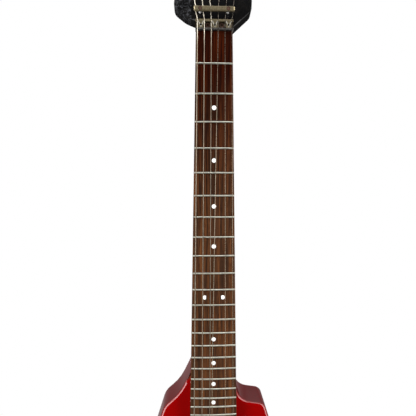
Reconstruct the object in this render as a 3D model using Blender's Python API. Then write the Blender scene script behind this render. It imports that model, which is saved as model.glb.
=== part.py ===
"""V-shaped electric guitar with a locking nut and a floating tremolo.

The guitar hangs upright: +Z runs up the neck to the headstock, -Y is the front and +X the treble side.
The origin is the middle of the nut's front edge, level with the edges of the fretboard.
Shapes are drawn in a front frame of (across, down from the nut, out from the fretboard), in metres.
"""

import math

import bmesh
import bpy
from mathutils import Matrix, Vector

MM = 0.001

# Fits, and the steps in degrees of fine and of plain round corners
GAP = 0.3 * MM
RUN = 0.2 * MM
FINE_ARC = 12
PLAIN_ARC = 30

# Neck and fretboard
SCALE = 648 * MM
NUT_WIDTH = 42.5 * MM
OCTAVE_WIDTH = 53.6 * MM
FRET_COUNT = 22
BOARD_TAIL = 8 * MM
BOARD_THICKNESS = 6 * MM
BOARD_RADIUS = 400 * MM
BOARD_END = SCALE * (1 - 2 ** (-FRET_COUNT / 12)) + BOARD_TAIL
FRET_INSET = 0.4 * MM
FRET_WIDTH = 2.6 * MM
FRET_HEIGHT = 1.1 * MM
NECK_DEPTH_NUT = 13.5 * MM
NECK_DEPTH_BODY = 16 * MM
HEEL_DEPTH = 24 * MM
HEEL_START = 408 * MM
HEEL_SQUARE = 436 * MM
TENON_WIDTH = 38 * MM
TENON_LENGTH = 36 * MM
TENON_TOP = -17 * MM

# Body
BODY_FRONT = -10 * MM
BODY_THICKNESS = 42 * MM
BODY_EDGE = 4 * MM
WING_SPLAY = math.radians(17.5)
TREBLE_NECK = (27.5 * MM, 434.5 * MM)
TREBLE_HOLLOW = (36.9 * MM, 456.4 * MM)
TREBLE_SHOULDER = (67.2 * MM, 461.2 * MM)
BASS_NECK = (-27.5 * MM, 413 * MM)
BASS_HOLLOW = (-43.4 * MM, 446 * MM)
BASS_SHOULDER = (-63.3 * MM, 462 * MM)
TREBLE_HOLLOW_RADIUS = 21 * MM
TREBLE_SHOULDER_RADIUS = 10 * MM
BASS_HOLLOW_RADIUS = 62 * MM
BASS_SHOULDER_RADIUS = 26 * MM
TIP_OUTER_U = 897 * MM
TIP_INNER = (122 * MM, 918 * MM)
TIP_OUTER_RADIUS = 24 * MM
TIP_INNER_RADIUS = 15 * MM
NOTCH_U = 729 * MM
NOTCH_RADIUS = 13 * MM

# Locking nut, string retainer and headstock
NUT_LENGTH = 12 * MM
NUT_BOTTOM = -4 * MM
NUT_VALLEY = 0.2 * MM
NUT_TOP = 3.4 * MM
NUT_OVERHANG = 0.6 * MM
NUT_RIDGE = 2.3 * MM
NUT_ISLAND = 5.6 * MM
STRING_SPAN_NUT = 39.6 * MM
STRING_SPAN_BRIDGE = 52.5 * MM
STRING_HEIGHT_NUT = 2.5 * MM
STRING_HEIGHT_BRIDGE = 5.6 * MM
BAR_U = (-27.6 * MM, -22.2 * MM)
BAR_HALF = 23.4 * MM
BAR_THICKNESS = 4.4 * MM
BAR_TOP = 0.8 * MM
BAR_SCREW_X = 16.2 * MM
HEAD_TILT = math.radians(13)
HEAD_START = -14 * MM
HEAD_FACE = -8.3 * MM
HEAD_THICKNESS = 14.5 * MM
HEAD_SINK = 8 * MM
HEAD_ROOT_BASS = (-20.5 * MM, 0)
HEAD_ROOT_TREBLE = (20.5 * MM, -9.7 * MM)
HEAD_BEND_BASS = (-33 * MM, 5.6 * MM)
HEAD_FLARE_BASS = (-47.4 * MM, 18 * MM)
HEAD_FLARE_TREBLE = (44.8 * MM, 14.6 * MM)
HEAD_SIDE = (46 * MM, 34 * MM)
HEAD_TOP = (31 * MM, 160 * MM)
HEAD_TIP = 183 * MM
TUNER_ROWS = (54 * MM, 94 * MM, 134 * MM)
TUNER_INSET = 13 * MM

# Strings, thickest first
STRING_DIAMETERS = (1.17 * MM, 0.91 * MM, 0.66 * MM, 0.43 * MM, 0.33 * MM, 0.25 * MM)
SLACK_STRING = 3
SLACK_SWAY = (
    (60 * MM, 3.6 * MM),
    (180 * MM, 1.6 * MM),
    (325 * MM, -0.5 * MM),
    (400 * MM, -1.6 * MM),
    (520 * MM, -1.4 * MM),
)

# Pickups
PIVOT_U = SCALE - 3 * MM
NECK_PICKUP_U = BOARD_END + 25 * MM
BRIDGE_PICKUP_U = PIVOT_U - 41 * MM
RING_SIZE = (90 * MM, 44 * MM)
RING_THICKNESS = 4 * MM
RING_CORNER = 7 * MM
PICKUP_SIZE = (69 * MM, 37.5 * MM)
PICKUP_TOP = 1.4 * MM
BOBBIN_WIDTH = 17.6 * MM
BOBBIN_HEIGHT = 13 * MM
PICKUP_BASE = 1.6 * MM
POLE_RADIUS = 2.3 * MM

# Tremolo
PIVOT_H = -4.6 * MM
STUD_SPACING = 74 * MM
STUD_RADIUS = 4.2 * MM
PLATE_HALF = 46 * MM
PLATE_END = PIVOT_U + 52 * MM
PLATE_THICKNESS = 2.6 * MM
SADDLE_WIDTH = 9.9 * MM
BLOCK_SIZE = (68 * MM, 14 * MM, 41 * MM)
BLOCK_START = PIVOT_U + 7 * MM
BLOCK_SLOT = (PIVOT_U - 2 * MM, PIVOT_U + 41 * MM)
RECESS_DEPTH = 4.5 * MM
RECESS_HALF = 48.5 * MM
RECESS_U = (PIVOT_U - 9 * MM, PIVOT_U + 57 * MM)
ARM_X = 39.5 * MM
ARM_U = PIVOT_U + 17 * MM
ARM_RADIUS = 3 * MM
FINE_TUNER_RADIUS = 4.1 * MM
SPRING_RADIUS = 3.2 * MM
SPRING_SPACING = 16 * MM
SPRING_LEVEL = -43.6 * MM
CLAW_GAP = 11 * MM

# Back cavities and controls
SPRING_CAVITY_U = (PIVOT_U - 85 * MM, PIVOT_U + 45 * MM)
CLAW_U = SPRING_CAVITY_U[0] + CLAW_GAP
SPRING_CAVITY_HALF = 38.5 * MM
SPRING_CAVITY_DEPTH = 16 * MM
COVER_THICKNESS = 1.8 * MM
COVER_LIP = 7 * MM
CONTROL_LINE = ((80 * MM, 716 * MM), (104 * MM, 768 * MM), (128 * MM, 820 * MM))
CONTROL_CAVITY_HALF = 19 * MM
CONTROL_WALL = 7 * MM
KNOB_RADIUS = 9.5 * MM
KNOB_HEIGHT = 16 * MM
POT_RADIUS = 11.5 * MM
POT_SHAFT = 3 * MM
STRAP_TOP = (-34 * MM, 486 * MM)

# Small parts of the neck and headstock
HEEL_TAIL = 1.5 * MM
TANG_DEPTH = 0.5
BOARD_CROWN = 0.56 * MM
HEAD_EDGE = 1.2 * MM
HEAD_BEND_RADIUS = 20 * MM
HEAD_FLARE_RADIUS = 12 * MM
HEAD_SIDE_RADIUS = 60 * MM
HEAD_TOP_RADIUS = 9 * MM
HEAD_TIP_RADIUS = 8 * MM
NUT_DROP = 0.9 * MM
NUT_PAD_TOP = 2.2 * MM
NUT_PAD_XS = (-15.4 * MM, 0.6 * MM, 16.4 * MM)
NUT_SCREW_XS = (-7.4 * MM, 8.6 * MM)
NUT_SCREW = 9 * MM
NUT_HEAD = 2.6 * MM
NUT_HEAD_DEPTH = 1.6 * MM
NUT_THREAD = 1.4 * MM
BAR_MIDDLE = (BAR_U[0] + BAR_U[1]) / 2
BAR_SCREW = 20 * MM
BAR_SHANK = 1.3 * MM
BAR_HEAD = 2.1 * MM
BAR_HEAD_DEPTH = 1.5 * MM
BAR_FAN = 1.09
STRING_SHIFT = 0.4 * MM
STRING_TAIL = 2.6 * MM
STRING_STEPS = 8
STRING_TURNS = (2, 2, 2, 2.5, 2.5, 2.5)
SADDLE_BACK = (3.2 * MM, 2.2 * MM, 1.4 * MM, 2.2 * MM, 1.4 * MM, 0.6 * MM)

# Screws used in several places
SMALL_SHANK = 1.2 * MM
SMALL_HEAD = 2.5 * MM
SMALL_HEAD_HEIGHT = 1.7 * MM

# Tuners
POST_RADIUS = 3 * MM
DRUM_RADIUS = 2.4 * MM
POST_WAIST = (4.6 * MM, 9.4 * MM)
POST_TOP = 12.6 * MM
SLEEVE_RADIUS = 4.6 * MM
BUSHING_RADIUS = 6.4 * MM
BUSHING_HEIGHT = 2.8 * MM
HOUSING_WIDTH = 15 * MM
HOUSING_LENGTH = 19 * MM
HOUSING_DEPTH = 11 * MM
HOUSING_CORNER = 3 * MM
HOUSING_ARC = 50
EAR_THICKNESS = 2 * MM
EAR_HALF = 4 * MM
TUNER_SCREW_X = 12 * MM
TUNER_SCREW = 8 * MM
WORM_RADIUS = 2.2 * MM
POST_SINK = 0.72
WORM_SINK = 0.6
WORM_OFFSET = 5.6 * MM
BUTTON_NECK = 8.5 * MM
BUTTON_LENGTH = 15 * MM
BUTTON_RADIUS = 9 * MM
BUTTON_FLATNESS = 0.45

# Body fittings
CAVITY_CORNER = 6 * MM
SCREW_INSET = 6 * MM
PICKUP_ROUT = (84 * MM, 39.5 * MM)
PICKUP_ROUT_DEPTH = 10.6 * MM
RING_SCREW_INSET = 4 * MM
RING_SCREW_DEPTH = 8 * MM
RING_STEP = 2.6 * MM
WINDOW_GAP = 0.5 * MM
HEIGHT_SCREW_X = 38.6 * MM
FLANGE = 1 * MM
POLE_RISE = 0.8 * MM
COVER_SCREW_DEPTH = 9 * MM
BUSH_RADIUS = 4.5 * MM
BUSHING_RISE = 2 * MM
POT_HEIGHT = 9 * MM
SWITCH_RADIUS = 10 * MM
SWITCH_DEPTH = 16 * MM
LEVER_BALL = 3.6 * MM
LEVER_RADIUS = 1.3 * MM
LEVER_LENGTH = 19 * MM
LEVER_TIP = 3.4 * MM
JACK_BORE = 3.45 * MM
JACK_DEPTH = 16 * MM
JACK_NUT = 7.5 * MM
JACK_RISE = 2.2 * MM
STRAP_SCREW = 22 * MM
STRAP_FOOT = 5 * MM
STRAP_WAIST = 3.2 * MM
STRAP_RIM = 7.2 * MM
STRAP_HEIGHT = 12 * MM

# Small parts of the tremolo
PLATE_FRONT = PIVOT_U - 4.5 * MM
GANTRY_U = (PIVOT_U + 37 * MM, PIVOT_U + 47 * MM)
GANTRY_TOP = 9.4 * MM
GANTRY_BEAM = 3.2 * MM
GANTRY_WALL = 11 * MM
KNIFE_RADIUS = 3.4 * MM
KNIFE_CUT = (-9 * MM, 2 * MM)
FINE_TUNER_U = PIVOT_U + 42 * MM
FINE_SHANK = 1.6 * MM
FINE_TUNER_HEIGHT = 5.4 * MM
SADDLE_ARM = 3.6 * MM
CLAMP_HEAD = 1.9 * MM
CLAMP_SHANK = 1.1 * MM
BLOCK_SLOT_HALF = 36 * MM
COLLAR_RADIUS = 5.6 * MM
COLLAR_HEIGHT = 8 * MM
ARM_ROUTE = (
    (1.5 * MM, 12 * MM),
    (6 * MM, 19 * MM),
    (16 * MM, 26 * MM),
    (40 * MM, 33 * MM),
    (90 * MM, 38 * MM),
    (148 * MM, 38 * MM),
)
STUD_DEPTH = 20 * MM
STUD_WAIST = 2.6 * MM
STUD_CLEAR = 2.6 * MM
STUD_HEAD = 2.4 * MM
SPRING_HOOK = 5 * MM
SPRING_RIBS = 5
CLAW_HALF = 31 * MM
CLAW_THICKNESS = 2.2 * MM
CLAW_HEIGHT = 7 * MM
CLAW_SHANK = 1.8 * MM
CLAW_HEAD = 3.4 * MM
CLAW_SCREW = 20 * MM
CLAW_REACH = 20 * MM
CLAW_SCREW_X = 25 * MM


# Front frame: across to +X, down to -Z, out to -Y
FRONT = Matrix(((1, 0, 0, 0), (0, 0, -1, 0), (0, -1, 0, 0), (0, 0, 0, 1)))
# Head frame: across, up along the tilted headstock from the nut, out from its face
HEAD = FRONT @ Matrix(
    (
        (1, 0, 0, 0),
        (0, -math.cos(HEAD_TILT), -math.sin(HEAD_TILT), HEAD_START),
        (0, -math.sin(HEAD_TILT), math.cos(HEAD_TILT), HEAD_FACE),
        (0, 0, 0, 1),
    )
)
BODY_BACK = BODY_FRONT - BODY_THICKNESS


def clear_scene():
    for obj in list(bpy.data.objects):
        bpy.data.objects.remove(obj)


def material(name, color, roughness, metallic=0.0):
    found = bpy.data.materials.get(name)
    if found:
        return found
    made = bpy.data.materials.new(name)
    made.use_nodes = True
    shader = made.node_tree.nodes["Principled BSDF"]
    shader.inputs["Base Color"].default_value = (*color, 1)
    shader.inputs["Roughness"].default_value = roughness
    shader.inputs["Metallic"].default_value = metallic
    return made


RED = ("red_gloss", (0.28, 0.0, 0.004), 0.12)
BLACK = ("black_gloss", (0.004, 0.004, 0.005), 0.15)
NECK_WOOD = ("neck_wood", (0.55, 0.34, 0.17), 0.4)
ROSEWOOD = ("rosewood", (0.09, 0.035, 0.018), 0.55)
CREAM = ("cream_plastic", (0.8, 0.66, 0.42), 0.4)
NICKEL = ("nickel_silver", (0.62, 0.62, 0.55), 0.3, 1.0)
AGED = ("aged_nickel", (0.45, 0.4, 0.3), 0.4, 1.0)
RUST = ("rusty_steel", (0.16, 0.07, 0.04), 0.65, 0.7)
CHROME = ("chrome", (0.75, 0.75, 0.76), 0.12, 1.0)
STEEL = ("steel", (0.5, 0.5, 0.5), 0.35, 1.0)
BLACK_PLASTIC = ("black_plastic", (0.015, 0.015, 0.016), 0.4)
STRING_WIRE = ("string_wire", (0.6, 0.56, 0.48), 0.35, 1.0)


def solid(name, bm, look, smooth=35):
    """One closed object from a bmesh, with its material and its faces turned outwards."""
    bmesh.ops.recalc_face_normals(bm, faces=bm.faces)
    mesh = bpy.data.meshes.new(name)
    bm.to_mesh(mesh)
    bm.free()
    mesh.shade_smooth()
    mesh.set_sharp_from_angle(angle=math.radians(smooth))
    mesh.materials.append(material(*look))
    obj = bpy.data.objects.new(name, mesh)
    bpy.context.scene.collection.objects.link(obj)
    return obj


def cut(obj, cutters, operation="DIFFERENCE"):
    """Boolean of the object with one or more helper objects, which stay out of the render."""
    for cutter in cutters:
        cutter.hide_render = True
        cutter.display_type = "WIRE"
        modifier = obj.modifiers.new(cutter.name, "BOOLEAN")
        modifier.operation = operation
        modifier.object = cutter


def on_axis(obj, point):
    """Moves an object's origin to a point of its joint axis and leaves its shape where it is."""
    obj.data.transform(Matrix.Translation(-point))
    obj.location = point


def loft(bm, rings):
    """A closed tube through rings of points, with flat ends."""
    rows = [[bm.verts.new(point) for point in ring] for ring in rings]
    count = len(rows[0])
    for low, high in zip(rows, rows[1:]):
        for i in range(count):
            j = (i + 1) % count
            bm.faces.new((low[i], low[j], high[j], high[i]))
    bm.faces.new(rows[0][::-1])
    bm.faces.new(rows[-1])


def prism(bm, frame, outline, low, high):
    """An outline of (across, along) points, drawn out from low to high."""
    loft(bm, [[frame @ Vector((a, b, c)) for a, b in outline] for c in (low, high)])


def box(bm, frame, across, along, out):
    a0, a1 = across
    b0, b1 = along
    prism(bm, frame, ((a0, b0), (a1, b0), (a1, b1), (a0, b1)), *out)


def turned(bm, frame, profile, steps=12, turn=0.0):
    """A turned shape about the frame's out axis, from (radius, height) pairs."""
    angles = [turn + 2 * math.pi * i / steps for i in range(steps)]
    rings = []
    for radius, height in profile:
        rings.append([frame @ Vector((radius * math.cos(t), radius * math.sin(t), height)) for t in angles])
    loft(bm, rings)


def at(frame, a, b, c=0.0):
    return frame @ Matrix.Translation((a, b, c))


def facing(point, direction):
    """A frame at a world point whose out axis is the given world direction."""
    turn = Vector((0, 0, 1)).rotation_difference(Vector(direction)).to_matrix().to_4x4()
    return Matrix.Translation(point) @ turn


def arc_steps(angle, fine):
    return max(2, math.ceil(abs(angle) / math.radians(fine)))


def rounded(corners, fine=FINE_ARC):
    """A closed outline from (across, along, radius) corners, each with a round arc."""
    points = []
    count = len(corners)
    for i, (a, b, radius) in enumerate(corners):
        here = Vector((a, b))
        before = (Vector(corners[i - 1][:2]) - here).normalized()
        after = (Vector(corners[(i + 1) % count][:2]) - here).normalized()
        if radius <= 0:
            points.append((a, b))
            continue
        half = before.angle(after) / 2
        start = here + before * radius / math.tan(half)
        centre = here + (before + after).normalized() * radius / math.sin(half)
        turn = math.pi - 2 * half
        if before.x * after.y - before.y * after.x > 0:
            turn = -turn
        steps = arc_steps(turn, fine)
        arm = start - centre
        for k in range(steps + 1):
            angle = turn * k / steps
            cos, sin = math.cos(angle), math.sin(angle)
            points.append((centre.x + arm.x * cos - arm.y * sin, centre.y + arm.x * sin + arm.y * cos))
    return points


def inset(outline, distance):
    """The outline moved inwards by a distance, each point along the mean of its two edges' normals."""
    count = len(outline)
    area = sum(outline[i - 1][0] * outline[i][1] - outline[i][0] * outline[i - 1][1] for i in range(count))
    side = 1 if area > 0 else -1
    moved = []
    for i in range(count):
        here = Vector(outline[i])
        first = (here - Vector(outline[i - 1])).normalized()
        second = (Vector(outline[(i + 1) % count]) - here).normalized()
        normal = Vector((-first.y - second.y, first.x + second.x)) * side
        normal.normalize()
        lean = max(0.5, normal.dot(Vector((-first.y, first.x)) * side))
        moved.append(tuple(here + normal * distance / lean))
    return moved


def rounded_rect(half_a, b0, b1, radius, fine=PLAIN_ARC):
    corners = ((-half_a, b0, radius), (half_a, b0, radius), (half_a, b1, radius), (-half_a, b1, radius))
    return rounded(corners, fine)


def edged_plate(bm, frame, outline, low, high, edge, steps=3):
    """A plate drawn out from low to high with both rims rounded over."""
    rings = []
    for k in range(steps + 1):
        t = math.pi / 2 * k / steps
        rings.append((edge * (1 - math.sin(t)), low + edge * (1 - math.cos(t))))
    for k in range(steps + 1):
        t = math.pi / 2 * k / steps
        rings.append((edge * (1 - math.cos(t)), high - edge * (1 - math.sin(t))))
    shapes = []
    for distance, height in rings:
        ring = inset(outline, distance) if distance > 0 else outline
        shapes.append([frame @ Vector((a, b, height)) for a, b in ring])
    loft(bm, shapes)


def screw(bm, frame, head, height, shank, length, steps=8):
    """A plain screw: its head sits on the frame's plane and its shank runs inwards."""
    profile = ((shank, -length), (shank, 0), (head, 0), (head * 0.8, height))
    turned(bm, frame, profile, steps)


def holes(name, frames, radius, low, high, steps=8):
    bm = bmesh.new()
    for frame in frames:
        turned(bm, frame, ((radius, low), (radius, high)), steps)
    return solid(name, bm, STEEL)


def fret_u(number):
    return SCALE * (1 - 2 ** (-number / 12))


def board_width(u):
    return NUT_WIDTH + (OCTAVE_WIDTH - NUT_WIDTH) * u / (SCALE / 2)


def board_top(x, u):
    """Height of the cambered board, which is 0 at its edges."""
    half = board_width(u) / 2
    return math.sqrt(BOARD_RADIUS**2 - min(abs(x), half) ** 2) - math.sqrt(BOARD_RADIUS**2 - half**2)


def body_outline():
    """The V outline: from the bass side of the neck round both wings to the treble side."""
    spread = math.tan(WING_SPLAY)
    treble_tip = TREBLE_SHOULDER[0] + spread * (TIP_OUTER_U - TREBLE_SHOULDER[1])
    bass_tip = BASS_SHOULDER[0] - spread * (TIP_OUTER_U - BASS_SHOULDER[1])
    return rounded(
        (
            (*BASS_NECK, 0),
            (*TREBLE_NECK, 0),
            (*TREBLE_HOLLOW, TREBLE_HOLLOW_RADIUS),
            (*TREBLE_SHOULDER, TREBLE_SHOULDER_RADIUS),
            (treble_tip, TIP_OUTER_U, TIP_OUTER_RADIUS),
            (*TIP_INNER, TIP_INNER_RADIUS),
            (0, NOTCH_U, NOTCH_RADIUS),
            (-TIP_INNER[0], TIP_INNER[1], TIP_INNER_RADIUS),
            (bass_tip, TIP_OUTER_U, TIP_OUTER_RADIUS),
            (*BASS_SHOULDER, BASS_SHOULDER_RADIUS),
            (*BASS_HOLLOW, BASS_HOLLOW_RADIUS),
        )
    )


def control_outline(margin):
    """Outline of the control cavity along the line of knobs, widened by a margin."""
    start, end = Vector(CONTROL_LINE[0]), Vector(CONTROL_LINE[-1])
    along = (end - start).normalized()
    side = Vector((-along.y, along.x))
    reach = CONTROL_CAVITY_HALF + margin
    corners = []
    for place, way, hand in ((start, -1, -1), (start, -1, 1), (end, 1, 1), (end, 1, -1)):
        corner = place + along * way * reach + side * hand * reach
        corners.append((corner.x, corner.y, CONTROL_CAVITY_HALF * 0.6))
    return rounded(corners, PLAIN_ARC)


def control_cover_screws():
    start, end = Vector(CONTROL_LINE[0]), Vector(CONTROL_LINE[-1])
    along = (end - start).normalized()
    side = Vector((-along.y, along.x))
    reach = CONTROL_CAVITY_HALF + COVER_LIP / 2
    near, far = start - along * reach, end + along * reach
    middle = (start + end) / 2
    return [tuple(near), tuple(far), tuple(middle + side * reach), tuple(middle - side * reach)]


def spring_cover_screws():
    half = SPRING_CAVITY_HALF - SCREW_INSET
    low, high = SPRING_CAVITY_U[0] - COVER_LIP / 2, SPRING_CAVITY_U[1] + COVER_LIP / 2
    return [(side * half, u) for side in (-1, 1) for u in (low, high)]


def back(place):
    """A frame on the back of the body whose out axis points away from it."""
    return FRONT @ Matrix.Translation((*place, BODY_BACK)) @ Matrix.Rotation(math.pi, 4, "X")


def spring_cavity_outline(margin):
    low, high = SPRING_CAVITY_U
    return rounded_rect(SPRING_CAVITY_HALF + margin, low - margin, high + margin, CAVITY_CORNER + margin)


def neck_slot(margin):
    """The mortise for the neck's heel and tenon: their outline, widened all round by a margin."""
    top = HEEL_START - 20 * MM
    end = BOARD_END + HEEL_TAIL
    right = [
        (board_width(top) / 2 + margin, top),
        (board_width(end) / 2 + margin, end + margin),
        (TENON_WIDTH / 2 + margin, end + margin),
        (TENON_WIDTH / 2 + margin, end + TENON_LENGTH + margin),
    ]
    return right + [(-x, u) for x, u in reversed(right)]


def pickup_screw_places(pickup_u):
    """The four ring screws, then the two height screws, as (across, down)."""
    half_a, half_b = RING_SIZE[0] / 2 - RING_SCREW_INSET, RING_SIZE[1] / 2 - RING_SCREW_INSET
    corners = [(sx * half_a, pickup_u + sy * half_b) for sx in (-1, 1) for sy in (-1, 1)]
    return corners + [(side * HEIGHT_SCREW_X, pickup_u) for side in (-1, 1)]


def make_body():
    bm = bmesh.new()
    edged_plate(bm, FRONT, body_outline(), BODY_BACK, BODY_FRONT, BODY_EDGE, 2)
    body = solid("body", bm, RED)

    bm = bmesh.new()
    prism(bm, FRONT, neck_slot(GAP), -BOARD_THICKNESS - HEEL_DEPTH - 2 * GAP, BODY_FRONT + BODY_EDGE)
    routs = [solid("neck_slot", bm, NECK_WOOD)]

    for name, u in (("neck_pickup_rout", NECK_PICKUP_U), ("bridge_pickup_rout", BRIDGE_PICKUP_U)):
        bm = bmesh.new()
        half_a, half_b = PICKUP_ROUT[0] / 2, PICKUP_ROUT[1] / 2
        outline = rounded_rect(half_a, u - half_b, u + half_b, CAVITY_CORNER / 2)
        prism(bm, FRONT, outline, BODY_FRONT - PICKUP_ROUT_DEPTH, BODY_FRONT + 1 * MM)
        routs.append(solid(name, bm, BLACK_PLASTIC))

    bm = bmesh.new()
    outline = rounded_rect(RECESS_HALF, *RECESS_U, CAVITY_CORNER)
    prism(bm, FRONT, outline, BODY_FRONT - RECESS_DEPTH, BODY_FRONT + 1 * MM)
    routs.append(solid("tremolo_recess", bm, BLACK_PLASTIC))
    bm = bmesh.new()
    outline = rounded_rect(BLOCK_SLOT_HALF, *BLOCK_SLOT, CAVITY_CORNER / 2)
    prism(bm, FRONT, outline, BODY_BACK + SPRING_CAVITY_DEPTH - 1 * MM, BODY_FRONT)
    routs.append(solid("block_slot", bm, BLACK_PLASTIC))

    cover_seat = COVER_THICKNESS + GAP
    bm = bmesh.new()
    prism(bm, FRONT, spring_cavity_outline(0), BODY_BACK - 1 * MM, BODY_BACK + SPRING_CAVITY_DEPTH)
    routs.append(solid("spring_cavity", bm, BLACK_PLASTIC))
    bm = bmesh.new()
    prism(bm, FRONT, spring_cavity_outline(COVER_LIP + GAP), BODY_BACK - 1 * MM, BODY_BACK + cover_seat)
    routs.append(solid("spring_cover_rebate", bm, BLACK_PLASTIC))
    bm = bmesh.new()
    prism(bm, FRONT, control_outline(0), BODY_BACK - 1 * MM, BODY_FRONT - CONTROL_WALL)
    routs.append(solid("control_cavity", bm, BLACK_PLASTIC))
    bm = bmesh.new()
    prism(bm, FRONT, control_outline(COVER_LIP + GAP), BODY_BACK - 1 * MM, BODY_BACK + cover_seat)
    routs.append(solid("control_cover_rebate", bm, BLACK_PLASTIC))

    drills = []
    small = SMALL_SHANK + GAP
    for u in (NECK_PICKUP_U, BRIDGE_PICKUP_U):
        corners = pickup_screw_places(u)[:4]
        frames = [at(FRONT, a, b, BODY_FRONT) for a, b in corners]
        drills.append(holes(f"ring_screw_holes_{len(drills)}", frames, small, -RING_SCREW_DEPTH, 1 * MM, 6))
    covers = [back(place) for place in spring_cover_screws() + control_cover_screws()]
    drills.append(holes("cover_screw_holes", covers, small, -COVER_SCREW_DEPTH - GAP, 1 * MM, 6))
    studs = [at(FRONT, side * STUD_SPACING / 2, PIVOT_U, BODY_FRONT) for side in (-1, 1)]
    drills.append(holes("stud_holes", studs, STUD_RADIUS + GAP, -STUD_DEPTH - GAP, 1 * MM, 12))
    bushed = [at(FRONT, *place, BODY_FRONT) for place in CONTROL_LINE]
    drills.append(holes("control_holes", bushed, BUSH_RADIUS + GAP, -CONTROL_WALL - 1 * MM, 1 * MM, 12))
    drills.append(holes("strap_hole_top", [back(STRAP_TOP)], small, -STRAP_SCREW - GAP, 1 * MM, 6))
    drills.append(holes("strap_hole_tip", [tip_frame()], small, -STRAP_SCREW - GAP, 1 * MM, 6))
    claw = [claw_frame(side) for side in (-1, 1)]
    drills.append(holes("claw_screw_holes", claw, CLAW_SHANK + GAP, -CLAW_SCREW - GAP, CLAW_REACH, 8))
    cut(body, routs + drills)
    return body


def tip_frame():
    """A frame on the bass wing's end face, pointing out of it."""
    spread = math.tan(WING_SPLAY)
    outer = Vector((BASS_SHOULDER[0] - spread * (TIP_OUTER_U - BASS_SHOULDER[1]), TIP_OUTER_U))
    inner = Vector((-TIP_INNER[0], TIP_INNER[1]))
    middle = (outer + inner) / 2
    edge = (inner - outer).normalized()
    outward = Vector((-edge.y, edge.x))
    if outward.y < 0:
        outward = -outward
    level = (BODY_FRONT + BODY_BACK) / 2
    point = FRONT @ Vector((middle.x, middle.y, level))
    return facing(point, FRONT.to_3x3() @ Vector((outward.x, outward.y, 0)))


def claw_frame(side):
    """Axis of a claw screw: it runs up into the wall at the neck end of the spring cavity."""
    point = FRONT @ Vector((side * CLAW_SCREW_X, SPRING_CAVITY_U[0], SPRING_LEVEL))
    return facing(point, (0, 0, -1))


def neck_section(u, depth, squareness, top=-BOARD_THICKNESS - GAP):
    """One cross-section of the neck: flat under the board, its back a rounded curve down to its depth."""
    half = board_width(u) / 2
    ring = []
    for k in range(13):
        angle = math.pi * k / 12
        cos, sin = math.cos(angle), math.sin(angle)
        across = math.copysign(abs(cos) ** (2 / squareness), cos)
        ring.append(FRONT @ Vector((-half * across, u, top - depth * sin ** (2 / squareness))))
    return ring


def head_outline():
    """The headstock's outline in the head frame: flared at the nut, narrowing to a blunt point."""
    side, top = HEAD_SIDE, HEAD_TOP
    return rounded(
        (
            (*HEAD_ROOT_BASS, 0),
            (*HEAD_ROOT_TREBLE, 0),
            (*HEAD_FLARE_TREBLE, HEAD_FLARE_RADIUS),
            (*side, HEAD_SIDE_RADIUS),
            (*top, HEAD_TOP_RADIUS),
            (0, HEAD_TIP, HEAD_TIP_RADIUS),
            (-top[0], top[1], HEAD_TOP_RADIUS),
            (-side[0], side[1], HEAD_SIDE_RADIUS),
            (*HEAD_FLARE_BASS, HEAD_FLARE_RADIUS),
            (*HEAD_BEND_BASS, HEAD_BEND_RADIUS),
        )
    )


def tuner_place(string):
    """Post position of a string in the head frame, with the side it stands on."""
    row = string if string < 3 else 5 - string
    side = -1 if string < 3 else 1
    along = TUNER_ROWS[row]
    share = (along - HEAD_SIDE[1]) / (HEAD_TOP[1] - HEAD_SIDE[1])
    edge = HEAD_SIDE[0] + (HEAD_TOP[0] - HEAD_SIDE[0]) * share
    return side * (edge - TUNER_INSET), along, side


def tuner_screw_place(string):
    across, along, side = tuner_place(string)
    return across - side * TUNER_SCREW_X, along


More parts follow.
